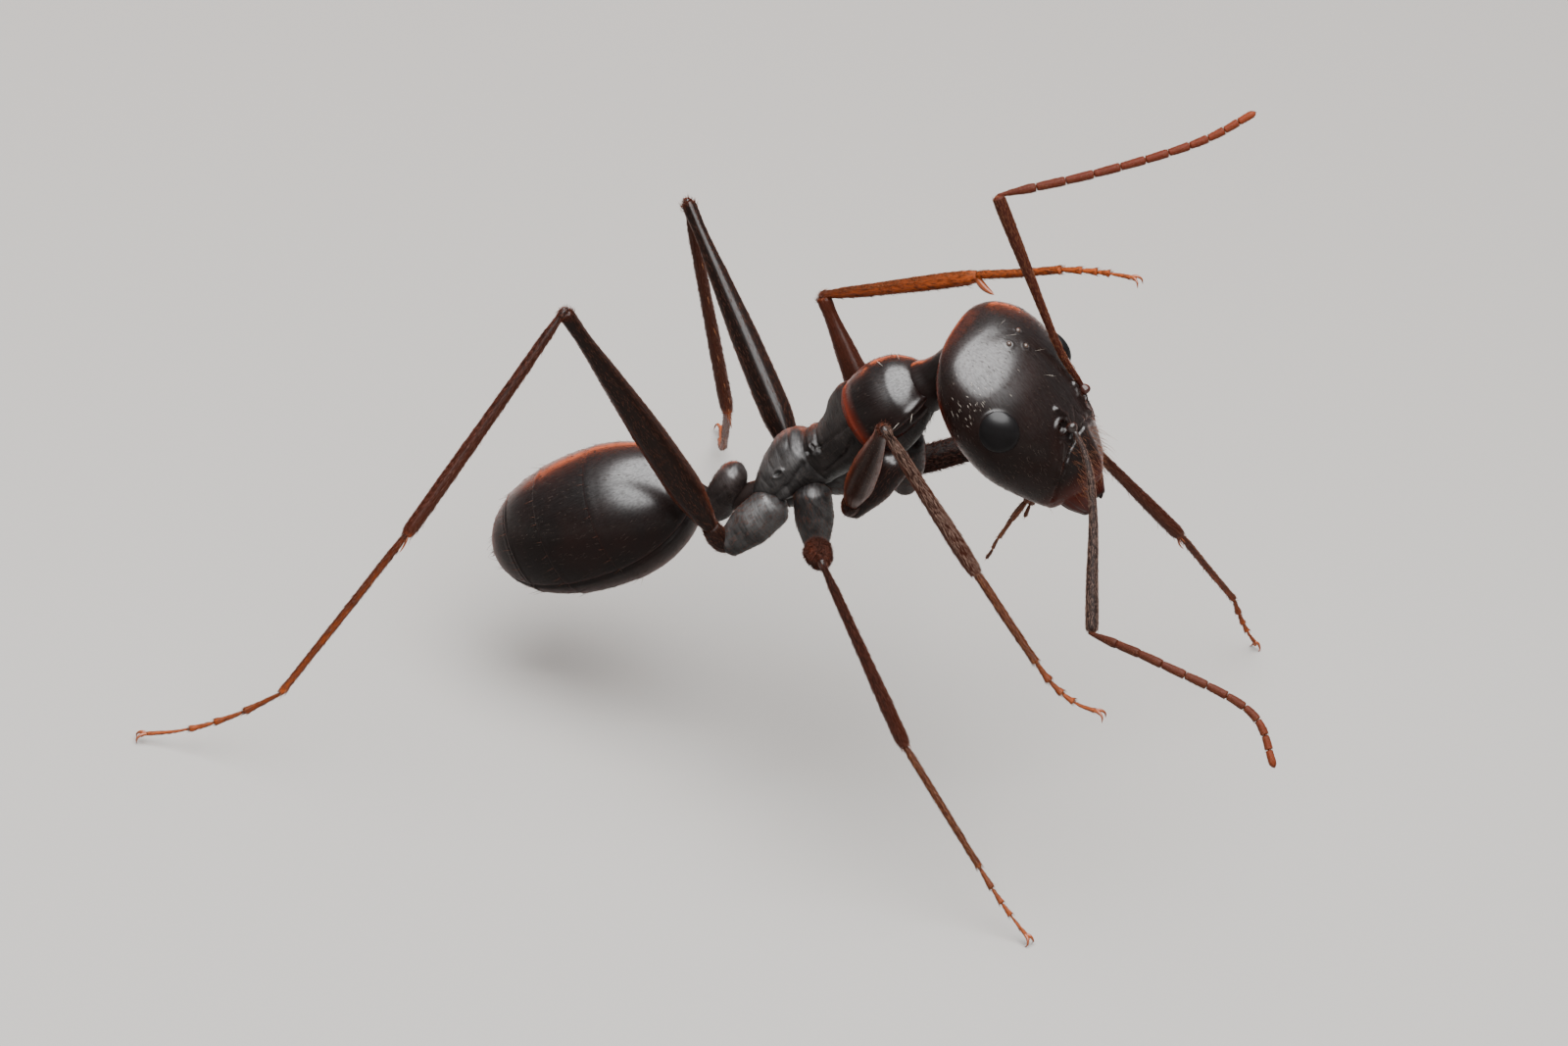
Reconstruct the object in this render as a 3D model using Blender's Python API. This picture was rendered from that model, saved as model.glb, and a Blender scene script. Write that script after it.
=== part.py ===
"""A long-legged black ant worker as a still, life-size model made of named solids.

The ant stands on its two middle and its two hind feet, the trunk reared up and
both front feet off the floor.  Everything is modelled in millimetres with the
middle of the trunk as origin, the head toward +X and the ant's left toward +Y;
the last step stands the feet on Z = 0, centres the ant over the origin and
brings it to metres.
"""
import math

import bmesh
import bpy
from mathutils import Matrix, Vector

for old in list(bpy.data.objects):
    bpy.data.objects.remove(old, do_unlink=True)

# ---------------------------------------------------------------- sizes (mm)
FLOOR = -6.05            # height of the floor under the middle of the trunk
GAP = 0.03               # clearance between neighbouring solids
LIMB_MIN = 0.25          # least radius of a limb as a solid
SIDES = 12               # facets round a limb
BODY_SIDES = 20          # facets round a body part
UNIT = 0.001             # millimetres to metres

# trunk: pitch of its long axis, head end up
TRUNK_PITCH = 46.2
# rows along the trunk's axis: place, back height, belly depth, half width
PRONOTUM_ROWS = [
    (2.06, 0.16, 0.14, 0.24), (1.98, 0.36, 0.24, 0.42), (1.80, 0.64, 0.36, 0.64),
    (1.52, 0.83, 0.47, 0.81), (1.18, 0.90, 0.53, 0.88), (0.86, 0.86, 0.55, 0.86),
    (0.60, 0.78, 0.57, 0.78),
]
MESOTHORAX_ROWS = [
    (0.57, 0.74, 0.57, 0.76), (0.34, 0.67, 0.59, 0.69), (0.08, 0.55, 0.61, 0.63),
    (-0.20, 0.46, 0.62, 0.59), (-0.46, 0.42, 0.61, 0.57), (-0.60, 0.43, 0.60, 0.56),
]
PROPODEUM_ROWS = [
    (-0.63, 0.45, 0.60, 0.56), (-0.78, 0.58, 0.59, 0.61), (-1.02, 0.62, 0.56, 0.65),
    (-1.36, 0.51, 0.51, 0.64), (-1.70, 0.30, 0.46, 0.56), (-1.98, 0.07, 0.40, 0.43),
    (-2.14, -0.08, 0.33, 0.28),
]
NECK_RADIUS = 0.25

# petiole: node standing on the waist between trunk and gaster
PETIOLE_FOOT = (-2.04, 0.0, -2.03)
PETIOLE_TOP = (-1.80, 0.0, -1.17)
PETIOLE_HALF = (0.31, 0.37)       # half thickness, half width

# gaster
GASTER_FRONT = (-2.46, 0.0, -1.74)
GASTER_LENGTH = 4.16
GASTER_SLOPE = 35.0
GASTER_RADIUS = 1.27
GASTER_CUTS = (0.40, 0.66, 0.84)  # tergite borders as shares of the length

# head
HEAD_CENTRE = (2.88, -0.20, 1.58)
HEAD_YAW, HEAD_PITCH, HEAD_ROLL = 6.0, 46.0, 17.0
# rows from nape to mouth: place, face height, throat depth, half width
HEAD_ROWS = [
    (-1.74, 0.14, 0.06, 0.42), (-1.66, 0.37, 0.17, 0.80), (-1.48, 0.63, 0.33, 1.14),
    (-1.15, 0.88, 0.60, 1.41), (-0.70, 1.04, 0.83, 1.55), (-0.20, 1.10, 0.95, 1.59),
    (0.30, 1.09, 0.97, 1.53), (0.75, 1.03, 0.93, 1.40), (1.15, 0.95, 0.84, 1.21),
    (1.50, 0.87, 0.70, 1.01), (1.77, 0.77, 0.54, 0.83), (1.92, 0.62, 0.34, 0.64),
]
EYE_PLACE = (-0.12, 1.36, 0.42)   # forward, out, up in the head
EYE_HALF = (0.38, 0.33, 0.24)
EYE_TILT = 24.0
MANDIBLE_ROOT = (1.97, 0.37, 0.12)
MANDIBLE_LENGTH = 0.50
MANDIBLE_CLOSED = 17.0            # lean of each jaw toward the middle
PALP_PLACES = ((1.50, 0.30, -0.98), (2.02, 0.33, -1.72), (2.32, 0.33, -2.20))

# feelers
SOCKET_PLACE = (0.60, 0.52, 1.00)
FEELERS = {                       # azimuth, elevation, length of each stretch
    "R": ((-38.2, -31.9, 0.75), (-57.9, -54.4, 3.00), (-23.4, 3.6, 1.62), (-4.0, -13.0, 1.73),
          (-28.5, -44.8, 1.07)),
    "L": ((-166.1, 55.3, 1.02), (177.1, 57.6, 3.02), (19.8, 21.0, 1.87), (23.0, 24.1, 1.78),
          (29.5, 33.3, 1.15)),
}

# legs: lengths of coxa, trochanter, femur, tibia, basitarsus, tarsus
LEG_LENGTHS = {
    "front": (1.34, 0.42, 3.36, 3.12, 1.89, 1.35),
    "mid": (1.02, 0.42, 3.65, 3.67, 2.52, 1.47),
    "hind": (1.16, 0.52, 5.23, 4.83, 3.61, 2.53),
}
# radii of coxa belly, trochanter, femur, knee, tibia end, foot
LEG_RADII = {
    "front": (0.37, 0.25, 0.27, 0.25, 0.25, 0.25),
    "mid": (0.36, 0.25, 0.27, 0.25, 0.25, 0.25),
    "hind": (0.40, 0.26, 0.30, 0.25, 0.25, 0.25),
}
COXA_BASES = {"front": (1.05, 0.42, 0.00), "mid": (-0.30, 0.42, -1.10),
              "hind": (-0.97, 0.43, -1.52)}
# azimuth and elevation of coxa, femur, tibia, basitarsus, tarsus
LEG_POSES = {
    "R_front": ((-165.3, -61.4), (-72.9, 51.2), (-0.3, -47.3), (-15.6, -39.4), (-4.1, -25.0)),
    "L_front": ((83.5, -65.7), (164.5, 52.5), (-9.4, 26.4), (-22.5, 27.2), (-11.6, 13.9)),
    "R_mid": ((-30.2, -70.4), (-78.9, 24.6), (-4.9, -55.1), (-17.8, -41.0), (-19.5, -37.4)),
    "L_mid": ((50.6, -12.1), (40.7, 11.1), (33.3, -41.3), (54.4, -44.1), (60.0, -51.1)),
    "R_hind": ((-146.7, -48.3), (-157.1, 51.0), (-123.6, -52.2), (-139.1, -56.7), (-162.5, -26.7)),
    "L_hind": ((78.7, -21.6), (142.8, 38.7), (42.0, -69.9), (99.3, -37.2), (103.0, -19.0)),
}
STANDING = ("R_mid", "L_mid", "R_hind", "L_hind")
FOOT_HEIGHT = 0.17       # height of a standing foot's axis over the floor

# ---------------------------------------------------------------- materials
COLOURS = {
    "cuticle": ((0.012, 0.008, 0.007), 0.22), "trunk_dull": ((0.030, 0.026, 0.025), 0.42),
    "limb": ((0.045, 0.014, 0.007), 0.34), "foot": ((0.190, 0.060, 0.018), 0.40),
    "eye": ((0.016, 0.015, 0.016), 0.25), "mouth": ((0.110, 0.022, 0.010), 0.30),
}

ant = bpy.data.collections.new("ant")
cutters = bpy.data.collections.new("cutters")
for group in (ant, cutters):
    bpy.context.scene.collection.children.link(group)


def paint(node, kind):
    """Give one node a material of its own."""
    colour, rough = COLOURS[kind]
    mat = bpy.data.materials.new(node.name + "_mat")
    mat.use_nodes = True
    shader = mat.node_tree.nodes["Principled BSDF"]
    shader.inputs["Base Color"].default_value = (*colour, 1.0)
    shader.inputs["Roughness"].default_value = rough
    mat.diffuse_color = (*colour, 1.0)
    node.data.materials.append(mat)


def add(name, bm, kind=None, group=ant):
    """Turn a bmesh into a linked object, painted when it is a node."""
    bmesh.ops.recalc_face_normals(bm, faces=bm.faces)
    mesh = bpy.data.meshes.new(name)
    bm.to_mesh(mesh)
    bm.free()
    node = bpy.data.objects.new(name, mesh)
    group.objects.link(node)
    if kind:
        paint(node, kind)
    return node


# ---------------------------------------------------------------- directions and planes
def aim(azimuth, elevation):
    """Unit vector from an azimuth (from +X toward +Y) and an elevation."""
    a, e = math.radians(azimuth), math.radians(elevation)
    return Vector((math.cos(a) * math.cos(e), math.sin(a) * math.cos(e), math.sin(e)))


def turned(yaw=0.0, pitch=0.0, roll=0.0):
    """Turn that drops the nose by pitch, then yaws; roll lifts the left side."""
    return (Matrix.Rotation(math.radians(yaw), 3, "Z") @ Matrix.Rotation(math.radians(pitch), 3, "Y")
            @ Matrix.Rotation(math.radians(roll), 3, "X"))


def chain(start, aims, lengths):
    """Joint places along a row of stretches."""
    places = [Vector(start)]
    for (azimuth, elevation), length in zip(aims, lengths):
        places.append(places[-1] + aim(azimuth, elevation) * length)
    return places


def along(start, end):
    """Matrix that lays a shape's Z axis along a stretch, centred on it."""
    run = end - start
    turn = run.to_track_quat("Z", "Y").to_matrix().to_4x4()
    return Matrix.Translation((start + end) / 2) @ turn


def trim(bm, place, normal):
    """Cut away what lies beyond a plane and close the cut with a flat face."""
    shape = bm.verts[:] + bm.edges[:] + bm.faces[:]
    cut = bmesh.ops.bisect_plane(bm, geom=shape, dist=1e-5, plane_co=place, plane_no=normal,
                                 clear_outer=True)
    rim = [e for e in cut["geom_cut"] if isinstance(e, bmesh.types.BMEdge)]
    if rim:
        bmesh.ops.contextual_create(bm, geom=rim)


def mitre(bm, joint, before, after, radius, far_side):
    """Cut a limb end on the plane that halves the bend, with half the gap.

    far_side is True for the stretch that leaves the joint.  A sharp bend's
    outer corner is cut back to about the limb's own radius.
    """
    normal = (before + after).normalized()
    if far_side:
        trim(bm, joint + normal * GAP / 2, -normal)
    else:
        trim(bm, joint - normal * GAP / 2, normal)
    corner = before - after
    if corner.length > 1.0:
        corner.normalize()
        trim(bm, joint + corner * radius * 1.05, corner)


# ---------------------------------------------------------------- shapes
def reach(before, after, radius):
    """How far a tube must run past a joint for its mitre to cut it whole."""
    return radius * math.tan(min(before.angle(after), 2.4) / 2) + 0.02


def stretch(name, start, end, radii, before, after, kind):
    """Limb segment: a tapering cylinder mitred against both neighbours."""
    run = (end - start).normalized()
    first = start - run * reach(before, run, radii[0])
    last = end + run * reach(run, after, radii[1])
    bm = bmesh.new()
    bmesh.ops.create_cone(bm, cap_ends=True, segments=SIDES, radius1=radii[0], radius2=radii[1],
                          depth=(last - first).length, matrix=along(first, last))
    mitre(bm, start, before, run, radii[0], True)
    mitre(bm, end, run, after, radii[1], False)
    return add(name, bm, kind)


def egg(name, place, turn, halves, kind=None, group=ant, rings=10, sides=16, taper=0.0):
    """Ellipsoid of given half sizes, narrowed toward its +Z end by taper."""
    bm = bmesh.new()
    bmesh.ops.create_uvsphere(bm, u_segments=sides, v_segments=rings, radius=1.0)
    for vert in bm.verts:
        slim = 1.0 - taper * (vert.co.z + 1.0) / 2.0
        vert.co.x *= slim
        vert.co.y *= slim
    shape = Matrix.Translation(place) @ turn.to_4x4() @ Matrix.Diagonal((*halves, 1.0))
    bmesh.ops.transform(bm, matrix=shape, verts=bm.verts)
    return add(name, bm, kind, group)


def wire(places, radii, sides=SIDES):
    """Bmesh of a bent tube: a poly curve with a round bevel and filled caps."""
    curve = bpy.data.curves.new("wire", "CURVE")
    curve.dimensions = "3D"
    curve.bevel_depth = 1.0
    curve.bevel_resolution = sides // 2 - 2
    curve.use_fill_caps = True
    spline = curve.splines.new("POLY")
    spline.points.add(len(places) - 1)
    for point, place, radius in zip(spline.points, places, radii):
        point.co = (*place, 1.0)
        point.radius = radius
    carrier = bpy.data.objects.new("wire", curve)
    cutters.objects.link(carrier)
    mesh = bpy.data.meshes.new_from_object(carrier.evaluated_get(bpy.context.evaluated_depsgraph_get()))
    bm = bmesh.new()
    bm.from_mesh(mesh)
    bmesh.ops.remove_doubles(bm, verts=bm.verts, dist=1e-4)
    bmesh.ops.recalc_face_normals(bm, faces=bm.faces)
    bpy.data.objects.remove(carrier, do_unlink=True)
    bpy.data.curves.remove(curve)
    bpy.data.meshes.remove(mesh)
    return bm


def loft(name, rows, place, turn, kind, sides=BODY_SIDES):
    """Body part between unlike oval sections: (along, above, below, half width)."""
    bm = bmesh.new()
    rings = []
    for step, above, below, half in rows:
        ring = []
        for k in range(sides):
            side, up = math.cos(2 * math.pi * k / sides), math.sin(2 * math.pi * k / sides)
            point = Vector((step, side * half, up * (above if up > 0 else below)))
            ring.append(bm.verts.new(place + turn @ point))
        rings.append(ring)
    for lower, upper in zip(rings, rings[1:]):
        for k in range(sides):
            n = (k + 1) % sides
            bm.faces.new((lower[k], lower[n], upper[n], upper[k]))
    bm.faces.new(rings[0])
    bm.faces.new(rings[-1])
    return add(name, bm, kind)


def lathe(name, profile, kind, sides=22):
    """Turned solid round Z from (radius, height) points, open at neither end."""
    bm = bmesh.new()
    points = [bm.verts.new((radius, 0, height)) for radius, height in profile]
    edges = [bm.edges.new(pair) for pair in zip(points, points[1:])]
    bmesh.ops.spin(bm, geom=points + edges, axis=(0, 0, 1), cent=(0, 0, 0), dvec=(0, 0, 0),
                   angle=2 * math.pi, steps=sides, use_merge=True)
    bmesh.ops.remove_doubles(bm, verts=bm.verts, dist=1e-4)
    bmesh.ops.holes_fill(bm, edges=bm.edges, sides=0)
    return add(name, bm, kind)


def grown(node):
    """A cutter: a copy of a node pushed outward by the gap."""
    copy = bpy.data.objects.new(node.name + "_clearance", node.data.copy())
    copy.hide_render = True
    copy.display_type = "WIRE"
    cutters.objects.link(copy)
    bm = bmesh.new()
    bm.from_mesh(copy.data)
    bm.normal_update()
    for vert in bm.verts:
        vert.co += vert.normal * GAP
    bm.to_mesh(copy.data)
    bm.free()
    return copy


def carve(node, tool):
    """Take a cutter out of a node and settle the result into the node's mesh."""
    mod = node.modifiers.new("carve", "BOOLEAN")
    mod.operation = "DIFFERENCE"
    mod.solver = "EXACT"
    mod.object = tool
    graph = bpy.context.evaluated_depsgraph_get()
    graph.update()
    mesh = bpy.data.meshes.new_from_object(node.evaluated_get(graph))
    old = node.data
    node.modifiers.clear()
    node.data = mesh
    bpy.data.meshes.remove(old)
    mesh.name = node.name


# ---------------------------------------------------------------- trunk
origin = Vector((0, 0, 0))
trunk_turn = turned(pitch=-TRUNK_PITCH)
pronotum = loft("pronotum", PRONOTUM_ROWS, origin, trunk_turn, "cuticle")
mesothorax = loft("mesothorax", MESOTHORAX_ROWS, origin, trunk_turn, "cuticle")
propodeum = loft("propodeum", PROPODEUM_ROWS, origin, trunk_turn, "trunk_dull")
trunk = (pronotum, mesothorax, propodeum)

# ---------------------------------------------------------------- head
head_turn = turned(HEAD_YAW, HEAD_PITCH, HEAD_ROLL)
head_at = Vector(HEAD_CENTRE)
head = loft("head", HEAD_ROWS, head_at, head_turn, "cuticle", sides=24)


def on_head(forward, out, up):
    """Place of a point given in the head's own frame."""
    return head_at + head_turn @ Vector((forward, out, up))


SIDE_SIGNS = (("R", -1), ("L", 1))
for side, sign in SIDE_SIGNS:
    seat = on_head(EYE_PLACE[0], sign * EYE_PLACE[1], EYE_PLACE[2])
    eye_turn = head_turn @ Matrix.Rotation(math.radians(-sign * (90 - EYE_TILT)), 3, "X")
    socket = egg("eye_socket_" + side, seat, eye_turn, [h + GAP for h in EYE_HALF], group=cutters)
    socket.hide_render = True
    socket.display_type = "WIRE"
    carve(head, socket)
    egg("eye_" + side, seat, eye_turn, EYE_HALF, "eye", rings=8, sides=14)

# ---------------------------------------------------------------- mouthparts
for side, sign in SIDE_SIGNS:
    root = on_head(MANDIBLE_ROOT[0], sign * MANDIBLE_ROOT[1], MANDIBLE_ROOT[2])
    lean = head_turn @ Matrix.Rotation(math.radians(-sign * MANDIBLE_CLOSED), 3, "Z")
    rows = []
    for k in range(5):
        t = k / 4
        rows.append((MANDIBLE_LENGTH * t, 0.30 * (1 - 0.5 * t), 0.27 * (1 - 0.5 * t),
                     0.33 * (1 - 0.55 * t ** 1.5)))
    loft("mandible_" + side, rows, root, lean, "mouth", sides=12)
    places = [on_head(x, sign * y, z) for x, y, z in PALP_PLACES]
    palp = add("palp_" + side, wire(places, (0.23, 0.25, 0.22), 10), "mouth")
    carve(palp, grown(head))

# ---------------------------------------------------------------- feelers
for side, sign in SIDE_SIGNS:
    socket = on_head(SOCKET_PLACE[0], sign * SOCKET_PLACE[1], SOCKET_PLACE[2])
    joints = chain(socket, [row[:2] for row in FEELERS[side]], [row[2] for row in FEELERS[side]])
    bend, elbow = joints[1], joints[2]
    shaft, lash = (elbow - bend).normalized(), (joints[3] - elbow).normalized()
    past = reach(shaft, lash, LIMB_MIN)
    bm = wire([socket, socket.lerp(bend, 0.6), bend.lerp(elbow, 0.05), bend.lerp(elbow, 0.5), elbow + shaft * past],
              [LIMB_MIN] * 5)
    mitre(bm, elbow, shaft, lash, LIMB_MIN, False)
    scape = add("scape_" + side, bm, "limb")
    carve(scape, grown(head))
    bm = wire([elbow - lash * past, elbow.lerp(joints[3], 0.5)] + joints[3:], [LIMB_MIN] * 5)
    mitre(bm, elbow, shaft, lash, LIMB_MIN, True)
    add("funiculus_" + side, bm, "limb")

# ---------------------------------------------------------------- legs
for leg, poses in LEG_POSES.items():
    side, pair = leg.split("_")
    sign = -1 if side == "R" else 1
    r_coxa, r_trochanter, r_femur, r_knee, r_shin, r_foot = LEG_RADII[pair]
    base = Vector(COXA_BASES[pair])
    base.y *= sign
    aims = (poses[0], poses[1], poses[1], poses[2], poses[3], poses[4])
    joints = chain(base, aims, LEG_LENGTHS[pair])
    if leg in STANDING:
        joints[6].z = FLOOR + FOOT_HEIGHT
    runs = [(b - a).normalized() for a, b in zip(joints, joints[1:])]

    # coxa: an egg slimming toward the trochanter, seated against the trunk
    hip_end = joints[1] + runs[0] * 0.30
    half = (hip_end - joints[0]).length / 2 + 0.12
    middle = hip_end - runs[0] * half
    turn = runs[0].to_track_quat("Z", "Y").to_matrix()
    coxa = egg("coxa_" + leg, middle, turn, (r_coxa, r_coxa, half), "trunk_dull", rings=12, sides=14, taper=0.22)
    bm = bmesh.new()
    bm.from_mesh(coxa.data)
    mitre(bm, joints[1], runs[0], runs[1], r_coxa, False)
    bmesh.ops.recalc_face_normals(bm, faces=bm.faces)
    bm.to_mesh(coxa.data)
    bm.free()
    for part in trunk:
        carve(coxa, grown(part))

    stretch("trochanter_" + leg, joints[1], joints[2], (r_trochanter, r_trochanter), runs[0], runs[2], "limb")
    stretch("femur_" + leg, joints[2], joints[3], (r_femur, r_knee), runs[1], runs[3], "limb")
    stretch("tibia_" + leg, joints[3], joints[4], (r_knee, r_shin), runs[2], runs[4], "limb")
    stretch("basitarsus_" + leg, joints[4], joints[5], (r_shin, r_foot), runs[3], runs[5], "limb")
    past = reach(runs[4], runs[5], r_foot)
    bm = wire([joints[5] - runs[5] * past, joints[5].lerp(joints[6], 0.5), joints[6], joints[6] + runs[5] * 0.12],
              [r_foot, r_foot, r_foot, r_foot * 0.7])
    mitre(bm, joints[5], runs[4], runs[5], r_foot, True)
    if leg in STANDING:
        trim(bm, Vector((0, 0, FLOOR)), Vector((0, 0, -1)))
    add("tarsus_" + leg, bm, "foot")

# ---------------------------------------------------------------- petiole
foot, top = Vector(PETIOLE_FOOT), Vector(PETIOLE_TOP)
thick, wide = PETIOLE_HALF
height = (top - foot).length
lean = math.degrees(math.atan2(top.x - foot.x, top.z - foot.z))
rows = [(-0.22, 0.20, 0.20, 0.24), (0.0, thick, thick, wide * 0.9), (height * 0.55, thick * 0.95, thick, wide),
        (height * 0.86, thick * 0.78, thick * 0.8, wide * 0.82), (height, thick * 0.42, thick * 0.42, wide * 0.5)]
loft("petiole", rows, foot, turned(pitch=lean - 90), "trunk_dull", sides=16)

# ---------------------------------------------------------------- gaster
gaster_run = aim(180.0, -GASTER_SLOPE)
gaster_place = Matrix.Translation(GASTER_FRONT) @ gaster_run.to_track_quat("Z", "Y").to_matrix().to_4x4()


def gaster_radius(share):
    """Radius of the gaster's egg at a share of its length from the waist."""
    swell = max(1 - abs(2 * share - 1) ** 2.15, 0.0) ** 0.5
    skew = 1.0 + 0.10 * math.sin(math.pi * share) * (0.5 - share)
    return GASTER_RADIUS * swell * skew


borders = (0.006,) + GASTER_CUTS + (0.994,)
for number, (first, last) in enumerate(zip(borders, borders[1:]), start=1):
    steps = 6 if number == 1 else 4
    first += GAP / 2 / GASTER_LENGTH
    last -= GAP / 2 / GASTER_LENGTH
    bend = {1: 1.7, 4: 0.6}.get(number, 1.0)
    profile = []
    for k in range(steps + 1):
        share = first + (last - first) * (k / steps) ** bend
        profile.append((gaster_radius(share), share * GASTER_LENGTH))
    tergite = lathe("gaster_%d" % number, profile, "cuticle")
    tergite.data.transform(gaster_place)

# ---------------------------------------------------------------- neck
throat = trunk_turn @ Vector((1.86, 0, -0.05))
neck = add("neck", wire([throat, on_head(-0.95, 0, -0.45)], (NECK_RADIUS, NECK_RADIUS)), "trunk_dull")
carve(neck, grown(pronotum))
carve(neck, grown(head))

# ---------------------------------------------------------------- set down, centre, bring to metres
corners = [vert.co for node in ant.objects for vert in node.data.vertices]
low = [min(corner[i] for corner in corners) for i in range(3)]
high = [max(corner[i] for corner in corners) for i in range(3)]
shift = Vector((-(low[0] + high[0]) / 2, -(low[1] + high[1]) / 2, -FLOOR))
root = bpy.data.objects.new("ant_root", None)
ant.objects.link(root)
for node in [n for n in ant.objects if n.type == "MESH"]:
    node.data.transform(Matrix.Scale(UNIT, 4) @ Matrix.Translation(shift))
    spots = [vert.co for vert in node.data.vertices]
    seat = sum(spots, Vector()) / len(spots)
    node.data.transform(Matrix.Translation(-seat))
    node.location = seat
    node.parent = root
for tool in list(cutters.objects):
    bpy.data.objects.remove(tool, do_unlink=True)
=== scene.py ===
"""The finished look of a life-size model of a long-legged black ant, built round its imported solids.

The ant is sized in millimetres about the middle of its trunk, head toward +X and its left
toward +Y, and each finished mesh is set into the frame in metres.  The ant is one still
body: all its plates, limbs and hairs ride on it.
"""
import logging
import math
from dataclasses import dataclass, field, replace
from enum import Enum
from functools import cached_property
from typing import Any, Callable, Sequence

import bpy
import numpy as np
from mathutils import Matrix, Vector


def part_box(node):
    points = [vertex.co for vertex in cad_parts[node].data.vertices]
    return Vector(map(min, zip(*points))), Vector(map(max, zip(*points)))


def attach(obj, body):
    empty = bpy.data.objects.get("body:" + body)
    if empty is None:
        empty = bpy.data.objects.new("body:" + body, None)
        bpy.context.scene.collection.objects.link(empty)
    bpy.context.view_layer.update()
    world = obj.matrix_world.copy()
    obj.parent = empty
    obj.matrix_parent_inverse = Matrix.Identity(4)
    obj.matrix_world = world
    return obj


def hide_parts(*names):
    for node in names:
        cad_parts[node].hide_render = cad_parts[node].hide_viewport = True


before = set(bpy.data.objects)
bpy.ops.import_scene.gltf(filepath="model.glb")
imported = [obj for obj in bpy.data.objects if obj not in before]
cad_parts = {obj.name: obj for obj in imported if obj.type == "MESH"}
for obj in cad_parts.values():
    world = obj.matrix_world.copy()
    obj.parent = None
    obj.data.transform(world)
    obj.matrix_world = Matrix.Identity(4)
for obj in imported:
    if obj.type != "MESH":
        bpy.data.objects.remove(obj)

LOG = logging.getLogger("ant")
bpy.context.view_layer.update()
MM = 0.001  # metres in a millimetre
TINY = 1e-12  # keeps a length off zero before a division
ROOT = "root"  # the one body that everything rides on

Row = tuple[float, float, float, float]
Spot = tuple[float, float, float]
Knots = tuple[tuple[float, float], ...]
Array = np.ndarray
Rule = Callable[[Array, Array], Array]
Choice = Callable[[Array, Array, Array], Array]


# ---- directions
def aim(azimuth: float, elevation: float) -> Vector:
    """Gives a direction from its degrees from +X toward +Y and above the level."""
    a, e = math.radians(azimuth), math.radians(elevation)
    return Vector((math.cos(a) * math.cos(e), math.sin(a) * math.cos(e), math.sin(e)))


def turned(yaw: float = 0.0, pitch: float = 0.0, roll: float = 0.0) -> Matrix:
    """Gives the 3x3 turn by roll about +X, then pitch about +Y, then yaw about +Z, in degrees."""
    about_x, about_y, about_z = (Matrix.Rotation(math.radians(angle), 3, axis)
                                 for angle, axis in ((roll, "X"), (pitch, "Y"), (yaw, "Z")))
    return about_z @ about_y @ about_x


def eased(knots: Array, values: Array, at: Array) -> Array:
    """Runs a smooth curve through given points without overshooting any of them.

    Args:
        knots: Rising places of the points.
        values: The points' values.
        at: Places to read.

    Returns:
        The curve's values there.
    """
    gap = np.diff(knots)
    slope = np.diff(values) / gap
    lean = np.concatenate([slope[:1], np.zeros(len(knots) - 2), slope[-1:]])
    near, far = 2 * gap[1:] + gap[:-1], gap[1:] + 2 * gap[:-1]
    same = slope[:-1] * slope[1:] > 0
    lean[1:-1][same] = ((near + far)[same]
                        / (near[same] / slope[:-1][same] + far[same] / slope[1:][same]))
    k = np.clip(np.searchsorted(knots, at) - 1, 0, len(gap) - 1)
    t = (at - knots[k]) / gap[k]
    return (values[k] * (2 * t ** 3 - 3 * t ** 2 + 1) + values[k + 1] * (3 * t ** 2 - 2 * t ** 3)
            + gap[k] * (lean[k] * (t ** 3 - 2 * t ** 2 + t) + lean[k + 1] * (t ** 3 - t ** 2)))


def stepped(low: float, high: float, at: Array) -> Array:
    """Rises smoothly from 0 at low to 1 at high."""
    t = np.clip((at - low) / (high - low), 0.0, 1.0)
    return t * t * (3 - 2 * t)


def unit(rows: Array) -> Array:
    """Gives the directions of the vectors that stand in rows."""
    return rows / np.maximum(np.linalg.norm(rows, axis=1, keepdims=True), TINY)


# ---- sizes of the whole ant (mm)
TRUNK_TURN = turned(pitch=-46.2)
PRONOTUM_ROWS: tuple[Row, ...] = (
    (0.60, 0.78, 0.57, 0.78), (0.86, 0.86, 0.55, 0.86), (1.18, 0.90, 0.53, 0.88),
    (1.52, 0.83, 0.47, 0.81), (1.80, 0.64, 0.36, 0.64), (1.98, 0.36, 0.24, 0.42),
    (2.06, 0.16, 0.14, 0.24))
MESOTHORAX_ROWS: tuple[Row, ...] = (
    (-0.60, 0.43, 0.60, 0.56), (-0.46, 0.42, 0.61, 0.57), (-0.20, 0.46, 0.62, 0.59),
    (0.08, 0.55, 0.61, 0.63), (0.34, 0.67, 0.59, 0.69), (0.57, 0.74, 0.57, 0.76))
PROPODEUM_ROWS: tuple[Row, ...] = (
    (-2.14, -0.08, 0.33, 0.28), (-1.98, 0.07, 0.40, 0.43), (-1.70, 0.30, 0.46, 0.56),
    (-1.36, 0.51, 0.51, 0.64), (-1.02, 0.62, 0.56, 0.65), (-0.78, 0.58, 0.59, 0.61),
    (-0.63, 0.45, 0.60, 0.56))
HEAD_CENTRE = Vector((2.88, -0.20, 1.58))
HEAD_TURN = turned(6.0, 46.0, 17.0)
HEAD_ROWS: tuple[Row, ...] = (
    (-1.74, 0.14, 0.06, 0.42), (-1.66, 0.37, 0.17, 0.80), (-1.48, 0.63, 0.33, 1.14),
    (-1.15, 0.88, 0.60, 1.41), (-0.70, 1.04, 0.83, 1.55), (-0.20, 1.10, 0.95, 1.59),
    (0.30, 1.09, 0.97, 1.53), (0.75, 1.03, 0.93, 1.40), (1.15, 0.95, 0.77, 1.21),
    (1.50, 0.87, 0.58, 1.01), (1.77, 0.77, 0.42, 0.83), (1.92, 0.62, 0.26, 0.64))
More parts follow.
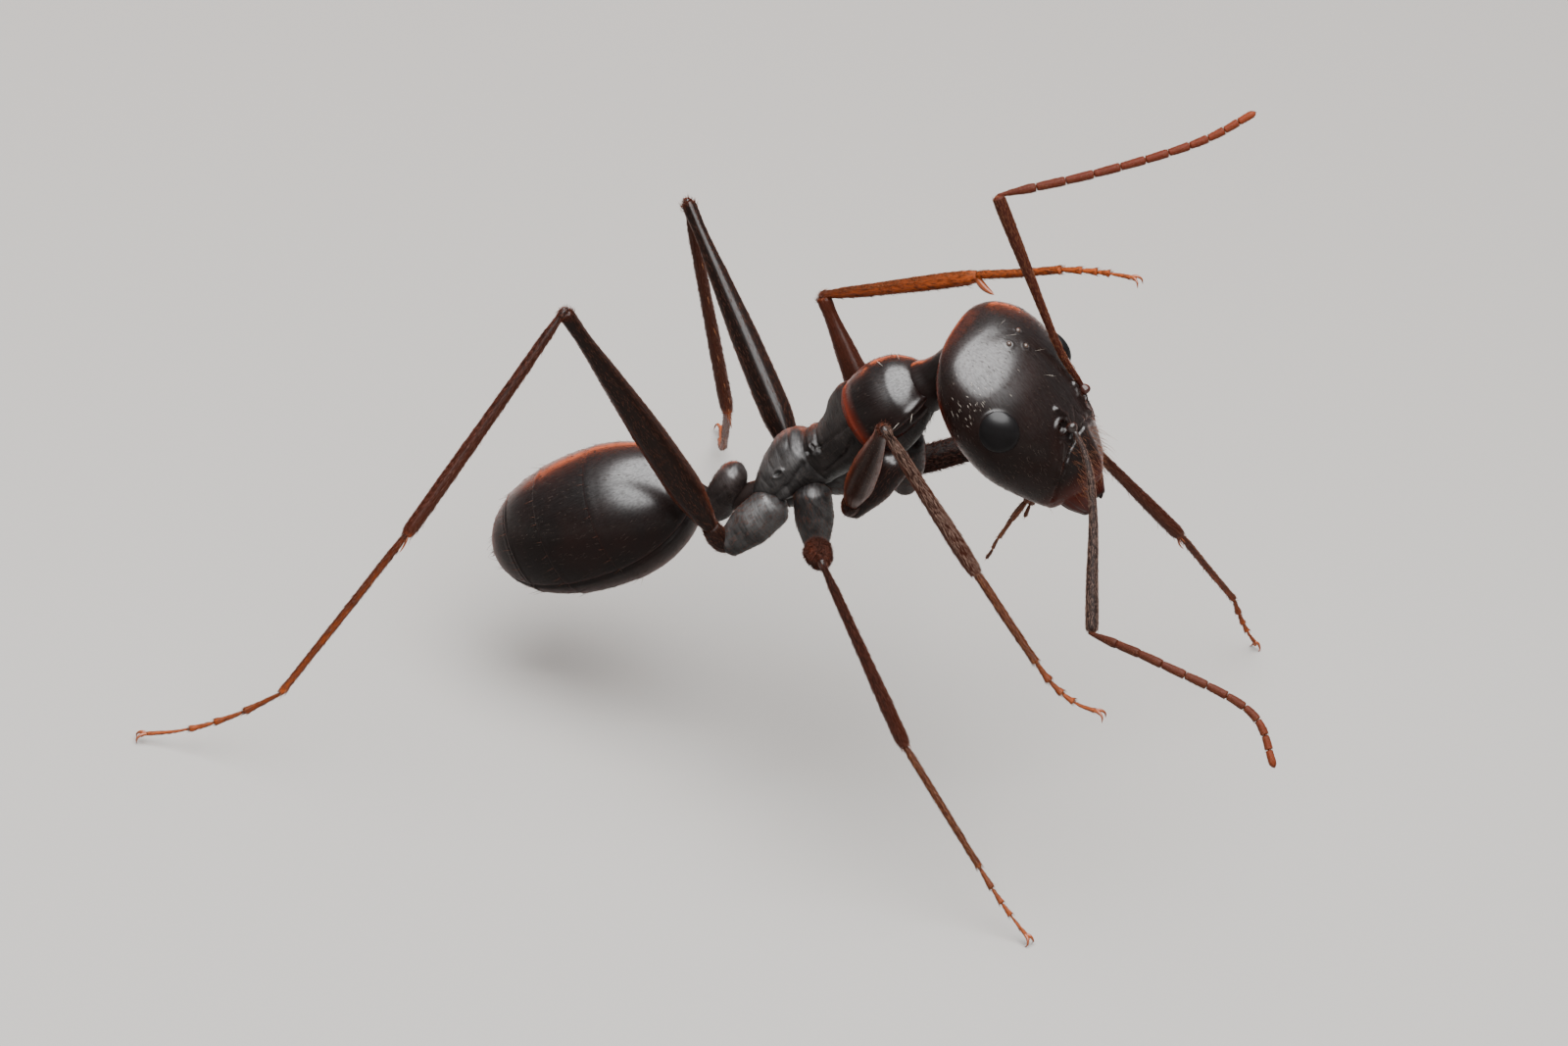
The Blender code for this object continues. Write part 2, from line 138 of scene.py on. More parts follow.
FEELER_SEAT: Spot = (0.60, 0.52, 1.00)
FLOOR_LEVEL = -6.05  # height of the floor under the middle of the trunk
FOOT_HEIGHT = 0.17  # height of a standing foot's axis over the floor
CLEARANCE = 0.004  # what flesh and hair keep off the floor


class Side(Enum):
    """The ant's two sides, with the sign of +Y on each."""

    RIGHT = ("R", -1)
    LEFT = ("L", 1)

    @property
    def tag(self) -> str:
        """The letter that names of pieces end in."""
        return self.value[0]

    @property
    def sign(self) -> int:
        """The sign of +Y on this side."""
        return self.value[1]

    def set(self, place: Spot) -> Spot:
        """Moves a place that is stated for the left to this side."""
        return place[0], self.sign * place[1], place[2]


class Slot(Enum):
    """The record's material slots."""

    CUTICLE = "cuticle"
    HEAD = "head_cuticle"
    DULL = "trunk_dull"
    LEG = "leg"
    FOOT = "foot"
    FEELER = "feeler"
    EYE = "eye"
    MOUTH = "mouth"


def on_head(forward: float, out: float, up: float) -> Vector:
    """Gives the place of a point that is stated in the head's own frame."""
    return HEAD_CENTRE + HEAD_TURN @ Vector((forward, out, up))


def on_trunk(forward: float, out: float, up: float) -> Vector:
    """Gives the place of a point that is stated in the trunk's own frame."""
    return TRUNK_TURN @ Vector((forward, out, up))


def trunk_middle() -> Vector:
    """Finds where the trunk's middle stands in the frame, from the pronotum's solid.

    Returns:
        The place in metres.
    """
    sides = 20
    corners = []
    for step, above, below, half in PRONOTUM_ROWS:
        for k in range(sides):
            side, up = math.cos(2 * math.pi * k / sides), math.sin(2 * math.pi * k / sides)
            corners.append(TRUNK_TURN @ Vector((step, side * half, up * (above if up > 0 else below))))
    low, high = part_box("pronotum")
    spans = [(min(c[i] for c in corners) + max(c[i] for c in corners)) / 2 for i in range(3)]
    return (low + high) / 2 - Vector(spans) * MM


# ---- shader graphs
class Val:
    """A number in a shader graph, on which arithmetic adds Math nodes."""

    def __init__(self, shop: "Shop", socket: Any) -> None:
        """Keeps the graph and the socket that carries the number."""
        self.shop = shop
        self.socket = socket

    def _math(self, operation: str, first: Any, second: Any) -> "Val":
        """Adds one Math node and gives its result."""
        made = self.shop.node("ShaderNodeMath", {"operation": operation}, {0: first, 1: second})
        return Val(self.shop, made.outputs[0])

    def __add__(self, other: Any) -> "Val":
        """Sum."""
        return self._math("ADD", self, other)

    __radd__ = __add__

    def __sub__(self, other: Any) -> "Val":
        """Difference."""
        return self._math("SUBTRACT", self, other)

    def __rsub__(self, other: Any) -> "Val":
        """Difference, reflected."""
        return self._math("SUBTRACT", other, self)

    def __mul__(self, other: Any) -> "Val":
        """Product."""
        return self._math("MULTIPLY", self, other)

    __rmul__ = __mul__

    def between(self, low: float, high: float) -> "Val":
        """Rises smoothly from 0 at low to 1 at high."""
        made = self.shop.node("ShaderNodeMapRange", {"interpolation_type": "SMOOTHSTEP"},
                              {0: self, 1: low, 2: high, 3: 0.0, 4: 1.0})
        return Val(self.shop, made.outputs[0])


class Shop:
    """A material's shader graph and the ways of adding to it."""

    def __init__(self, name: str) -> None:
        """Starts a material that holds one Principled shader.

        Args:
            name: The material's name.
        """
        self.material = bpy.data.materials.new(name)
        self.material.use_nodes = True
        self.tree = self.material.node_tree
        self.shader = self.tree.nodes["Principled BSDF"]

    def node(self, kind: str, settings: dict[str, Any], sockets: dict[Any, Any]) -> bpy.types.Node:
        """Adds any node.

        Args:
            kind: The node's type.
            settings: Its properties, set first.
            sockets: A value, a link or a Val for each named or numbered socket.

        Returns:
            The node.
        """
        made = self.tree.nodes.new(kind)
        for key, value in settings.items():
            setattr(made, key, value)
        for key, value in sockets.items():
            self.feed(made.inputs[key], value)
        return made

    def feed(self, socket: Any, value: Any) -> None:
        """Sets a socket to a value, or links it.

        Args:
            socket: The socket.
            value: A value, a link or a Val.
        """
        if isinstance(value, Val):
            value = value.socket
        if isinstance(value, bpy.types.NodeSocket):
            self.tree.links.new(value, socket)
        else:
            socket.default_value = value

    def spot(self) -> Any:
        """Gives the place on the piece in millimetres, from its Object coordinates."""
        place = self.node("ShaderNodeTexCoord", {}, {}).outputs["Object"]
        return self.node("ShaderNodeMapping", {}, {"Vector": place, "Scale": (1 / MM,) * 3}).outputs[0]

    def wrap(self, stretch: Spot) -> Any:
        """Gives the piece's own UV place, stretched."""
        place = self.node("ShaderNodeTexCoord", {}, {}).outputs["UV"]
        return self.node("ShaderNodeMapping", {}, {"Vector": place, "Scale": stretch}).outputs[0]

    def grain(self, place: Any, turn: Spot, swells: tuple[float, float]) -> Val:
        """Adds noise that is drawn out along a turned X.

        Args:
            place: The place on the piece.
            turn: The turn about X, Y and Z in degrees.
            swells: Swells for each unit along and across.

        Returns:
            The noise.
        """
        along, across = (1 / count for count in swells)
        drawn = self.node("ShaderNodeMapping", {"vector_type": "TEXTURE"}, {
            "Vector": place, "Rotation": tuple(math.radians(a) for a in turn),
            "Scale": (along, across, across)})
        return self.noise(drawn.outputs[0], 1.0, 2.0, 0.5)

    def mark(self, name: str) -> Val:
        """Reads a number stored on the mesh; it is 0 where the mesh has none."""
        made = self.node("ShaderNodeAttribute", {"attribute_name": name}, {})
        return Val(self, made.outputs["Fac"])

    def noise(self, place: Any, scale: float, detail: float, rough: float = 0.55) -> Val:
        """Adds smooth noise of a given number of swells for each unit."""
        made = self.node("ShaderNodeTexNoise", {},
                         {"Vector": place, "Scale": scale, "Detail": detail, "Roughness": rough})
        return Val(self, made.outputs["Fac"])

    def cells(self, place: Any, scale: float, feature: str) -> Val:
        """Adds a distance in a field of cells."""
        made = self.node("ShaderNodeTexVoronoi", {"feature": feature}, {"Vector": place, "Scale": scale})
        return Val(self, made.outputs["Distance"])

    def blend(self, share: Any, first: Any, second: Any) -> Any:
        """Mixes two colours.

        Args:
            share: The share of the second.
            first: A colour or a link.
            second: The other one.

        Returns:
            The link that carries the mixture.
        """
        mix = self.node("ShaderNodeMix", {"data_type": "RGBA"}, {0: share})
        for number, colour in ((6, first), (7, second)):
            self.feed(mix.inputs[number], colour if not isinstance(colour, tuple) else (*colour, 1.0))
        return mix.outputs[2]

    def relief(self, height: Val, depth_mm: float) -> Any:
        """Adds a Bump node whose full height is depth_mm."""
        return self.node("ShaderNodeBump", {}, {"Distance": depth_mm * MM, "Height": height}).outputs[0]

    def finish(self, sockets: dict[str, Any]) -> bpy.types.Material:
        """Sets the shader's sockets to values, links or Vals, and gives the material."""
        for key, value in sockets.items():
            self.feed(self.shader.inputs[key], (*value, 1.0) if isinstance(value, tuple) else value)
        return self.material


# ---- finishes
class Finish:
    """A finish that makes its material once."""

    name: str

    def paint(self, shop: Shop) -> bpy.types.Material:
        """Builds the material."""
        raise NotImplementedError

    def material(self) -> bpy.types.Material:
        """Gives the material, made at its first use."""
        found = bpy.data.materials.get(self.name)
        return found or self.paint(Shop(self.name))


@dataclass(frozen=True)
class PolishedShell(Finish):
    """Black-brown shell, polished on top over a fine net of grooves, red at marked borders: partly the red
    of thinner cuticle, partly a painted reflection of a warm rim light.
    """

    name: str = "polished_shell"
    dark: Spot = (0.0040, 0.0023, 0.0020)
    red: Spot = (0.090, 0.011, 0.004)
    gloss: float = 0.30
    lacquer: float = 0.28
    relief_mm: float = 0.0018        # height of the net and the waves
    net_scale: float = 46.0          # meshes of the net in a millimetre
    lie: Spot = (0.0, -42.0, 0.0)    # the turn of the silky lines

    def paint(self, shop: Shop) -> bpy.types.Material:
        """Builds the material.

        Args:
            shop: The graph to build in.

        Returns:
            The material.
        """
        place = shop.spot()
        cloud = shop.noise(place, 1.1, 4.0)
        net = shop.cells(place, self.net_scale, "DISTANCE_TO_EDGE").between(0.0, 0.16)
        pits = 1 - shop.cells(place, 7.5, "F1").between(0.04, 0.11)
        waves = shop.noise(place, 8.0, 3.0)
        silk = shop.grain(place, self.lie, (5.0, 34.0)).between(0.34, 0.62)
        lacquer = shop.mark("polish") * (silk * 0.34 + 0.66) * (cloud * 0.30 + 0.85)
        # Red share from the marked borders: partly the red of thinner cuticle, partly a painted reflection
        # of a warm rim light.
        colour = shop.blend((cloud - 0.42) * 0.12 + shop.mark("thin"), self.dark, self.red)
        bump = shop.relief(net * 0.5 + waves * 1.3 - pits * 2.0, self.relief_mm)
        return shop.finish({
            "Base Color": colour, "Roughness": cloud * 0.10 + pits * 0.25 + self.gloss, "IOR": 1.5,
            "Specular IOR Level": 0.075, "Coat Weight": lacquer, "Coat Roughness": self.lacquer,
            "Coat IOR": 1.58, "Sheen Weight": 0.09, "Sheen Roughness": 0.25, "Sheen Tint": (1.0, 0.12, 0.03),
            "Normal": bump})


@dataclass(frozen=True)
class DullShell(Finish):
    """Grey-black shell with fine crosswise grooves, satin on its upward faces."""

    name: str = "dull_shell"
    dark: Spot = (0.0048, 0.0036, 0.0034)
    pale: Spot = (0.038, 0.035, 0.034)
    red: Spot = (0.085, 0.013, 0.004)
    gloss: float = 0.42
    satin: float = 0.95
    relief_mm: float = 0.0065        # depth of the grooves
    lie: Spot = (0.0, -46.0, 0.0)    # the grooves run across this turn's X

    def paint(self, shop: Shop) -> bpy.types.Material:
        """Builds the material.

        Args:
            shop: The graph to build in.

        Returns:
            The material.
        """
        place = shop.spot()
        cloud = shop.noise(place, 2.2, 4.0)
        groove = shop.grain(place, self.lie, (34.0, 4.0)).between(0.36, 0.64)
        grain = shop.cells(place, 55.0, "DISTANCE_TO_EDGE").between(0.0, 0.2)
        grey = shop.blend(cloud.between(0.36, 0.66) * 0.75 + groove * 0.25, self.dark, self.pale)
        # Red share from the same marked borders, partly a painted reflection of a warm rim light.
        colour = shop.blend(shop.mark("thin"), grey, self.red)
        satin = (cloud.between(0.36, 0.62) * 0.60 + 0.40) * (groove * 0.40 + 0.65) * self.satin
        return shop.finish({
            "Base Color": colour, "Roughness": cloud * 0.14 + self.gloss - 0.07, "IOR": 1.5,
            "Specular IOR Level": 0.14, "Coat Weight": shop.mark("polish") * satin,
            "Coat Roughness": 0.40, "Coat IOR": 1.58,
            "Normal": shop.relief(groove * 0.6 + grain * 0.3 + cloud * 1.2, self.relief_mm)})


@dataclass(frozen=True)
class LimbShell(Finish):
    """Satin limb shell with lengthwise grooves, dark near the body and red-amber at the foot."""

    name: str = "limb_shell"
    dark: Spot = (0.0048, 0.0024, 0.0018)
    brown: Spot = (0.030, 0.0068, 0.0030)
    amber: Spot = (0.21, 0.042, 0.009)
    gloss: float = 0.33
    relief_mm: float = 0.010         # depth of the lengthwise grooves

    def paint(self, shop: Shop) -> bpy.types.Material:
        """Builds the material.

        Args:
            shop: The graph to build in.

        Returns:
            The material.
        """
        place, wound = shop.spot(), shop.wrap((26.0, 3.0, 1.0))
        streak = shop.noise(wound, 1.0, 3.0, 0.6)
        cloud = shop.noise(place, 4.0, 3.0)
        # The reach mark runs dark to amber down a limb; on legs it also holds a painted red glow in the
        # under side's shade and the painted back-light glow of the left front leg.
        reach = shop.mark("reach") + (streak - 0.5) * 0.25 + (cloud - 0.5) * 0.2
        near = shop.blend(reach.between(0.15, 0.62), self.dark, self.brown)
        colour = shop.blend(reach.between(0.62, 1.05), near, self.amber)
        return shop.finish({
            "Base Color": colour, "Roughness": streak * 0.22 + shop.mark("matt") * 0.5 + (self.gloss - 0.10),
            "IOR": 1.52, "Specular IOR Level": 0.09,
            "Coat Weight": shop.mark("polish") * (streak * 0.5 + 0.5), "Coat Roughness": 0.24,
            "Coat IOR": 1.5, "Sheen Weight": 0.09, "Sheen Roughness": 0.35,
            "Sheen Tint": (1.0, 0.18, 0.05),
            "Normal": shop.relief(streak * 1.0 + cloud * 0.3, self.relief_mm)})


@dataclass(frozen=True)
class MouthShell(Finish):
    """Dark red shell of the jaws, near black at their teeth."""

    name: str = "mouth_shell"
    red: Spot = (0.034, 0.0044, 0.0018)
    dark: Spot = (0.0045, 0.0016, 0.0013)
    relief_mm: float = 0.006         # depth of the lengthwise lines

    def paint(self, shop: Shop) -> bpy.types.Material:
        """Builds the material.

        Args:
            shop: The graph to build in.

        Returns:
            The material.
        """
        place = shop.spot()
        cloud = shop.noise(place, 5.0, 3.0)
        lines = shop.noise(shop.wrap((30.0, 2.0, 1.0)), 1.0, 2.0)
        colour = shop.blend(cloud * 0.5 + shop.mark("tip") * 0.9, self.red, self.dark)
        return shop.finish({
            "Base Color": colour, "Roughness": lines * 0.2 + 0.22, "IOR": 1.5, "Specular IOR Level": 0.13,
            "Normal": shop.relief(lines + cloud * 0.5, self.relief_mm)})


@dataclass(frozen=True)
class PlainTint(Finish):
    """A small part's finish: two tints clouded together, with a fine grain and lacquer if any."""

    name: str
    first: Spot
    second: Spot
    gloss: float = 0.35
    shine: float = 0.5
    lead: str = "along"              # the mark on the mesh that draws the second tint
    clouds: tuple[float, float] = (12.0, 3.0)
    unevenness: float = 0.15
    grain: float = 60.0
    relief_mm: float = 0.0015
    lacquer: float = 0.0

    def paint(self, shop: Shop) -> bpy.types.Material:
        """Builds the material.

        Args:
            shop: The graph to build in.

        Returns:
            The material.
        """
        place = shop.spot()
        cloud = shop.noise(place, *self.clouds)
        share = cloud * 0.5 + shop.mark(self.lead) * 0.5
        if self.lacquer:
            shop.finish({"Coat Weight": shop.mark("polish") * self.lacquer, "Coat Roughness": 0.33})
        return shop.finish({
            "Base Color": shop.blend(share, self.first, self.second), "IOR": 1.5,
            "Roughness": cloud * self.unevenness + self.gloss, "Specular IOR Level": self.shine,
            "Normal": shop.relief(shop.noise(place, self.grain, 2.0), self.relief_mm)})


SHELL = PolishedShell()
HEAD_SHELL = PolishedShell("head_shell", dark=(0.0052, 0.0028, 0.0023), gloss=0.20, lie=(17.0, 46.0, 6.0))
DULL = DullShell()
SIDE_SHELL = DullShell("side_shell", dark=(0.0036, 0.0024, 0.0021), pale=(0.015, 0.0115, 0.0105), gloss=0.33,
                       satin=0.45)
WAIST_SHELL = DullShell("waist_shell", dark=(0.0042, 0.0024, 0.0021), pale=(0.018, 0.0125, 0.0115))
LIMB = LimbShell()
FEELER_SKIN = LimbShell("feeler_skin", dark=(0.010, 0.0058, 0.0048), brown=(0.048, 0.0100, 0.0045),
                        amber=(0.15, 0.028, 0.008), gloss=0.44)
# A redder copy of the feeler skin for the left feeler: a painted glow of back light shining through it.
PAINTED_GLOW_FEELER = LimbShell("feeler_red", dark=(0.022, 0.0048, 0.0028), brown=(0.065, 0.0105, 0.0042),
                       amber=(0.17, 0.030, 0.008), gloss=0.44)
LENS = PlainTint("lens_skin", (0.0022, 0.0017, 0.0017), (0.0075, 0.0068, 0.0072), 0.30, 0.06, "lens",
                 (2.5, 2.0), 0.1, 18.0, 0.0006, 0.42)
MOUTH = MouthShell()
SOFT_SKIN = PlainTint("soft_skin", (0.0065, 0.004, 0.0034), (0.014, 0.0065, 0.0048), 0.42, 0.15)
PALP_SKIN = PlainTint("palp_skin", (0.11, 0.026, 0.007), (0.014, 0.0055, 0.0035), 0.38, 0.2)
AMBER = PlainTint("amber_claw", (0.26, 0.060, 0.013), (0.070, 0.013, 0.004), 0.24)
BEAD = PlainTint("ocellus_bead", (0.030, 0.018, 0.014), (0.080, 0.052, 0.038), 0.05)
DARK_HAIR = PlainTint("dark_hair", (0.014, 0.008, 0.006), (0.060, 0.040, 0.030), 0.40, 0.2)
PALE_HAIR = PlainTint("pale_hair", (0.22, 0.19, 0.16), (0.56, 0.51, 0.45), 0.40, 0.3)
RUST_HAIR = PlainTint("rust_hair", (0.024, 0.0050, 0.0022), (0.085, 0.017, 0.0060), 0.38, 0.2)
KNEE_HAIR = PlainTint("knee_hair", (0.012, 0.0030, 0.0016), (0.055, 0.012, 0.0045), 0.38, 0.2)
FRINGE_HAIR = PlainTint("fringe_hair", (0.050, 0.016, 0.007), (0.20, 0.075, 0.030), 0.38, 0.2)
SILK_HAIR = PlainTint("silk_hair", (0.060, 0.030, 0.021), (0.22, 0.135, 0.100), 0.40, 0.25)
BROWN_HAIR = PlainTint("brown_hair", (0.022, 0.0060, 0.0030), (0.095, 0.030, 0.013), 0.40, 0.2)
GOLD_HAIR = PlainTint("gold_hair", (0.095, 0.028, 0.009), (0.32, 0.12, 0.038), 0.38, 0.25)


# ---- the bench
class Bench:
    """Selection, merging and the setting of finished meshes into the frame."""

    MERGE = 1e-5                     # millimetres within which points are merged
    middle: Vector = trunk_middle()

    @staticmethod
    def clear() -> None:
        """Deselects everything."""
        for item in bpy.context.selected_objects:
            item.select_set(False)

    @staticmethod
    def grid(name: str, around: int, along: int) -> bpy.types.Object:
        """Adds a unit grid to be wound into a closed surface.

        Args:
            name: The object's name.
            around: Faces that will go round.
            along: Faces that will go lengthwise.

        Returns:
            The grid.
        """
        Bench.clear()
        bpy.ops.mesh.primitive_grid_add(x_subdivisions=around, y_subdivisions=along, size=1.0)
        made = bpy.context.object
        made.name = made.data.name = name
        return made

    @staticmethod
    def weld(piece: bpy.types.Object) -> None:
        """Merges seams and poles and turns all faces outward.

        Args:
            piece: The object.
        """
        Bench.clear()
        piece.select_set(True)
        bpy.context.view_layer.objects.active = piece
        bpy.ops.object.mode_set(mode="EDIT")
        bpy.ops.mesh.select_all(action="SELECT")
        bpy.ops.mesh.remove_doubles(threshold=Bench.MERGE)
        bpy.ops.mesh.normals_make_consistent(inside=False)
        bpy.ops.object.mode_set(mode="OBJECT")
        bpy.ops.object.shade_smooth()

    @staticmethod
    def settle(piece: bpy.types.Object, finish: Finish, slot: Slot, node: str = "") -> None:
        """Sets a finished piece into the frame, dresses it and puts it on the ant's body.

        Args:
            piece: The object, modelled in millimetres.
            finish: Its finish.
            slot: The record's slot that the finish belongs to; not used.
            node: The solid that it stands for, if any.
        """
        piece.data.transform(Matrix.Translation(Bench.middle) @ Matrix.Scale(MM, 4) @ piece.matrix_world)
        piece.matrix_world = Matrix.Identity(4)
        piece.data.materials.clear()
        piece.data.materials.append(finish.material())
        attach(piece, ROOT)
        if node:
            piece.name = piece.data.name = node + "_skin"
            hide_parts(node)
        LOG.info("%s: %d faces, %s", piece.name, len(piece.data.polygons), finish.name)

    @staticmethod
    def assemble(name: str, parts: Sequence[bpy.types.Object], finish: Finish, slot: Slot,
                 solid: bool = True) -> None:
        """Makes several meshes one finished piece.

        Args:
            name: The piece's name.
            parts: The meshes, all in millimetres.
            finish: Its finish.
            slot: The record's slot that the finish belongs to.
            solid: Whether it stands for the solid of that name.
        """
        Bench.clear()
        for part in parts:
            part.select_set(True)
        bpy.context.view_layer.objects.active = parts[0]
        bpy.ops.object.join()
        parts[0].name = parts[0].data.name = name
        Bench.settle(parts[0], finish, slot, name if solid else "")

    @staticmethod
    def mark(piece: bpy.types.Object, name: str, values: Array) -> None:
        """Stores a number at each point of a mesh."""
        layer = piece.data.attributes.new(name, "FLOAT", "POINT")
        layer.data.foreach_set("value", np.ascontiguousarray(values, dtype=np.float32))


# ---- relief on a shell
def nearest(place: Spot, shell: Array) -> Spot:
    """Gives the point of a shell that is nearest to a place."""
    return tuple(shell[np.argmin(np.sum((shell - np.array(place)) ** 2, axis=1))])


def folded(points: Array, both: bool) -> Array:
    """Folds the right side onto the left where a relief is on both."""
    return np.column_stack([points[:, 0], np.abs(points[:, 1]), points[:, 2]]) if both else points


@dataclass(frozen=True)
class Welt:
    """A raised line through given places, or a groove where its rise is below zero."""

    places: tuple[Spot, ...]
    width: float
    rise: float
    both: bool = True

    def height(self, points: Array) -> Array:
        """Gives the rise at points.

        Args:
            points: Places in the shell's own frame.

        Returns:
            The rise at each.
        """
        spots = folded(points, self.both)
        away = np.full(len(spots), np.inf)
        for start, end in zip(self.places, self.places[1:]):
            a, run = np.array(start), np.array(end) - np.array(start)
            t = np.clip((spots - a) @ run / max(run @ run, 1e-9), 0, 1)
            away = np.minimum(away, np.linalg.norm(spots - a - t[:, None] * run, axis=1))
        return self.rise * np.exp(-(away / self.width) ** 2)

    def laid(self, shell: Array) -> "Welt":
        """Moves the line onto the nearest points of the plain shell, in short steps."""
        steps = [tuple(np.array(a) + (np.array(b) - np.array(a)) * t)
                 for a, b in zip(self.places, self.places[1:]) for t in (0.0, 0.2, 0.4, 0.6, 0.8)]
        return replace(self, places=tuple(nearest(step, shell) for step in (*steps, self.places[-1])))


@dataclass(frozen=True)
class Crater:
    """A sunken round or oval seat with a raised rim."""

    place: Spot
    radius: float
    depth: float
    rim: float
    wall: float = 0.04
    stretch: Spot = (1.0, 1.0, 1.0)

    def height(self, points: Array) -> Array:
        """Gives the rise at points.

        Args:
            points: Places in the shell's own frame.

        Returns:
            The rise at each.
        """
        away = (folded(points, True) - np.array(self.place)) / np.array(self.stretch)
        far = np.linalg.norm(away, axis=1)
        ring = self.rim * np.exp(-((far - self.radius) / self.wall) ** 2)
        inner, outer = self.radius - 1.6 * self.wall, self.radius - 0.2 * self.wall
        return ring - self.depth * (1 - stepped(inner, outer, far))

    def laid(self, shell: Array) -> "Crater":
        """Moves the seat's middle onto the nearest point of the plain shell."""
        return replace(self, place=nearest(self.place, shell))


Relief = Welt | Crater


# ---- skins
class Skin:
    """A closed surface that two shares sweep: u goes round it and v from root to tip."""

    STEP = 1e-3                      # the step of u and v in slopes
    PROBES = 4000                    # places at which the area is sampled
    SPARE = 6                        # draws for each root that is kept
    around: int
    along: int

    def surface(self, u: Array, v: Array) -> Array:
        """Gives the surface's places at shares u and v."""
        raise NotImplementedError

    @cached_property
    def sense(self) -> float:
        """The sign that makes the normals point outward.

        Returns:
            1 or -1.
        """
        u, v = np.linspace(0, 1, 24, endpoint=False), np.full(24, 0.5)
        points = self.surface(u, v)
        return float(np.sign(np.mean(np.sum(self._cross(u, v) * (points - points.mean(0)), axis=1))))

    def _run(self, u: Array, v: Array) -> Array:
        """Gives the surface's run toward its tip over one step each way."""
        return (self.surface(u, np.minimum(v + self.STEP, 1))
                - self.surface(u, np.maximum(v - self.STEP, 0)))

    def _cross(self, u: Array, v: Array) -> Array:
        """Gives the cross product of the two slopes."""
        wide = self.surface(u + self.STEP, v) - self.surface(u - self.STEP, v)
        return np.cross(wide, self._run(u, v))

    def normals(self, u: Array, v: Array) -> Array:
        """Gives the outward unit normals."""
        return unit(self._cross(u, v) * self.sense)

    def lengthwise(self, u: Array, v: Array) -> Array:
        """Gives the unit directions along the surface toward its tip."""
        return unit(self._run(u, v))

    def polish(self, u: Array, v: Array) -> Array:
        """Gives the share of lacquer: full on upward faces, little underneath."""
        return 0.02 + 0.98 * stepped(0.02, 0.70, self.normals(u, np.clip(v, 0.01, 0.99))[:, 2])

    def scatter(self, spacing: float, rng: np.random.Generator,
                where: Choice | None = None) -> tuple[Array, Array]:
        """Spreads roots evenly over the surface.

        Args:
            spacing: Mean distance between roots.
            rng: The seeded draw.
            where: Share of roots kept at (u, v, places).

        Returns:
            The roots' shares u and v.
        """
        u, v = rng.random(self.PROBES), rng.random(self.PROBES)
        patch = np.linalg.norm(self._cross(u, v), axis=1) / (2 * self.STEP) ** 2
        count = int(patch.mean() / spacing ** 2)
        u, v = rng.random(count * self.SPARE), rng.random(count * self.SPARE)
        patch = np.linalg.norm(self._cross(u, v), axis=1)
        keep = rng.random(len(u)) * np.percentile(patch, 99) < patch
        u, v = u[keep][:count], v[keep][:count]
        if where is not None:
            chosen = rng.random(len(u)) < where(u, v, self.surface(u, v))
            u, v = u[chosen], v[chosen]
        return u, v

    def cast(self, name: str, marks: dict[str, Rule] | None = None) -> bpy.types.Object:
        """Makes the surface a closed mesh.

        Args:
            name: The object's name.
            marks: Numbers to store on it, worked out from u and v.

        Returns:
            The object, in millimetres.
        """
        made = Bench.grid(name, self.around, self.along)
        flat = np.empty(len(made.data.vertices) * 3)
        made.data.vertices.foreach_get("co", flat)
        u, v = (flat.reshape(-1, 3)[:, i] + 0.5 for i in (0, 1))
        made.data.vertices.foreach_set("co", self.surface(u, v).ravel())
        for key, rule in (marks or {}).items():
            Bench.mark(made, key, rule(u, v))
        Bench.weld(made)
        return made

    def dress(self, name: str, finish: Finish, slot: Slot, marks: dict[str, Rule] | None = None,
              solid: bool = True) -> None:
        """Makes the surface a finished piece, which stands for the solid of its name if solid."""
        Bench.settle(self.cast(name, marks), finish, slot, name if solid else "")


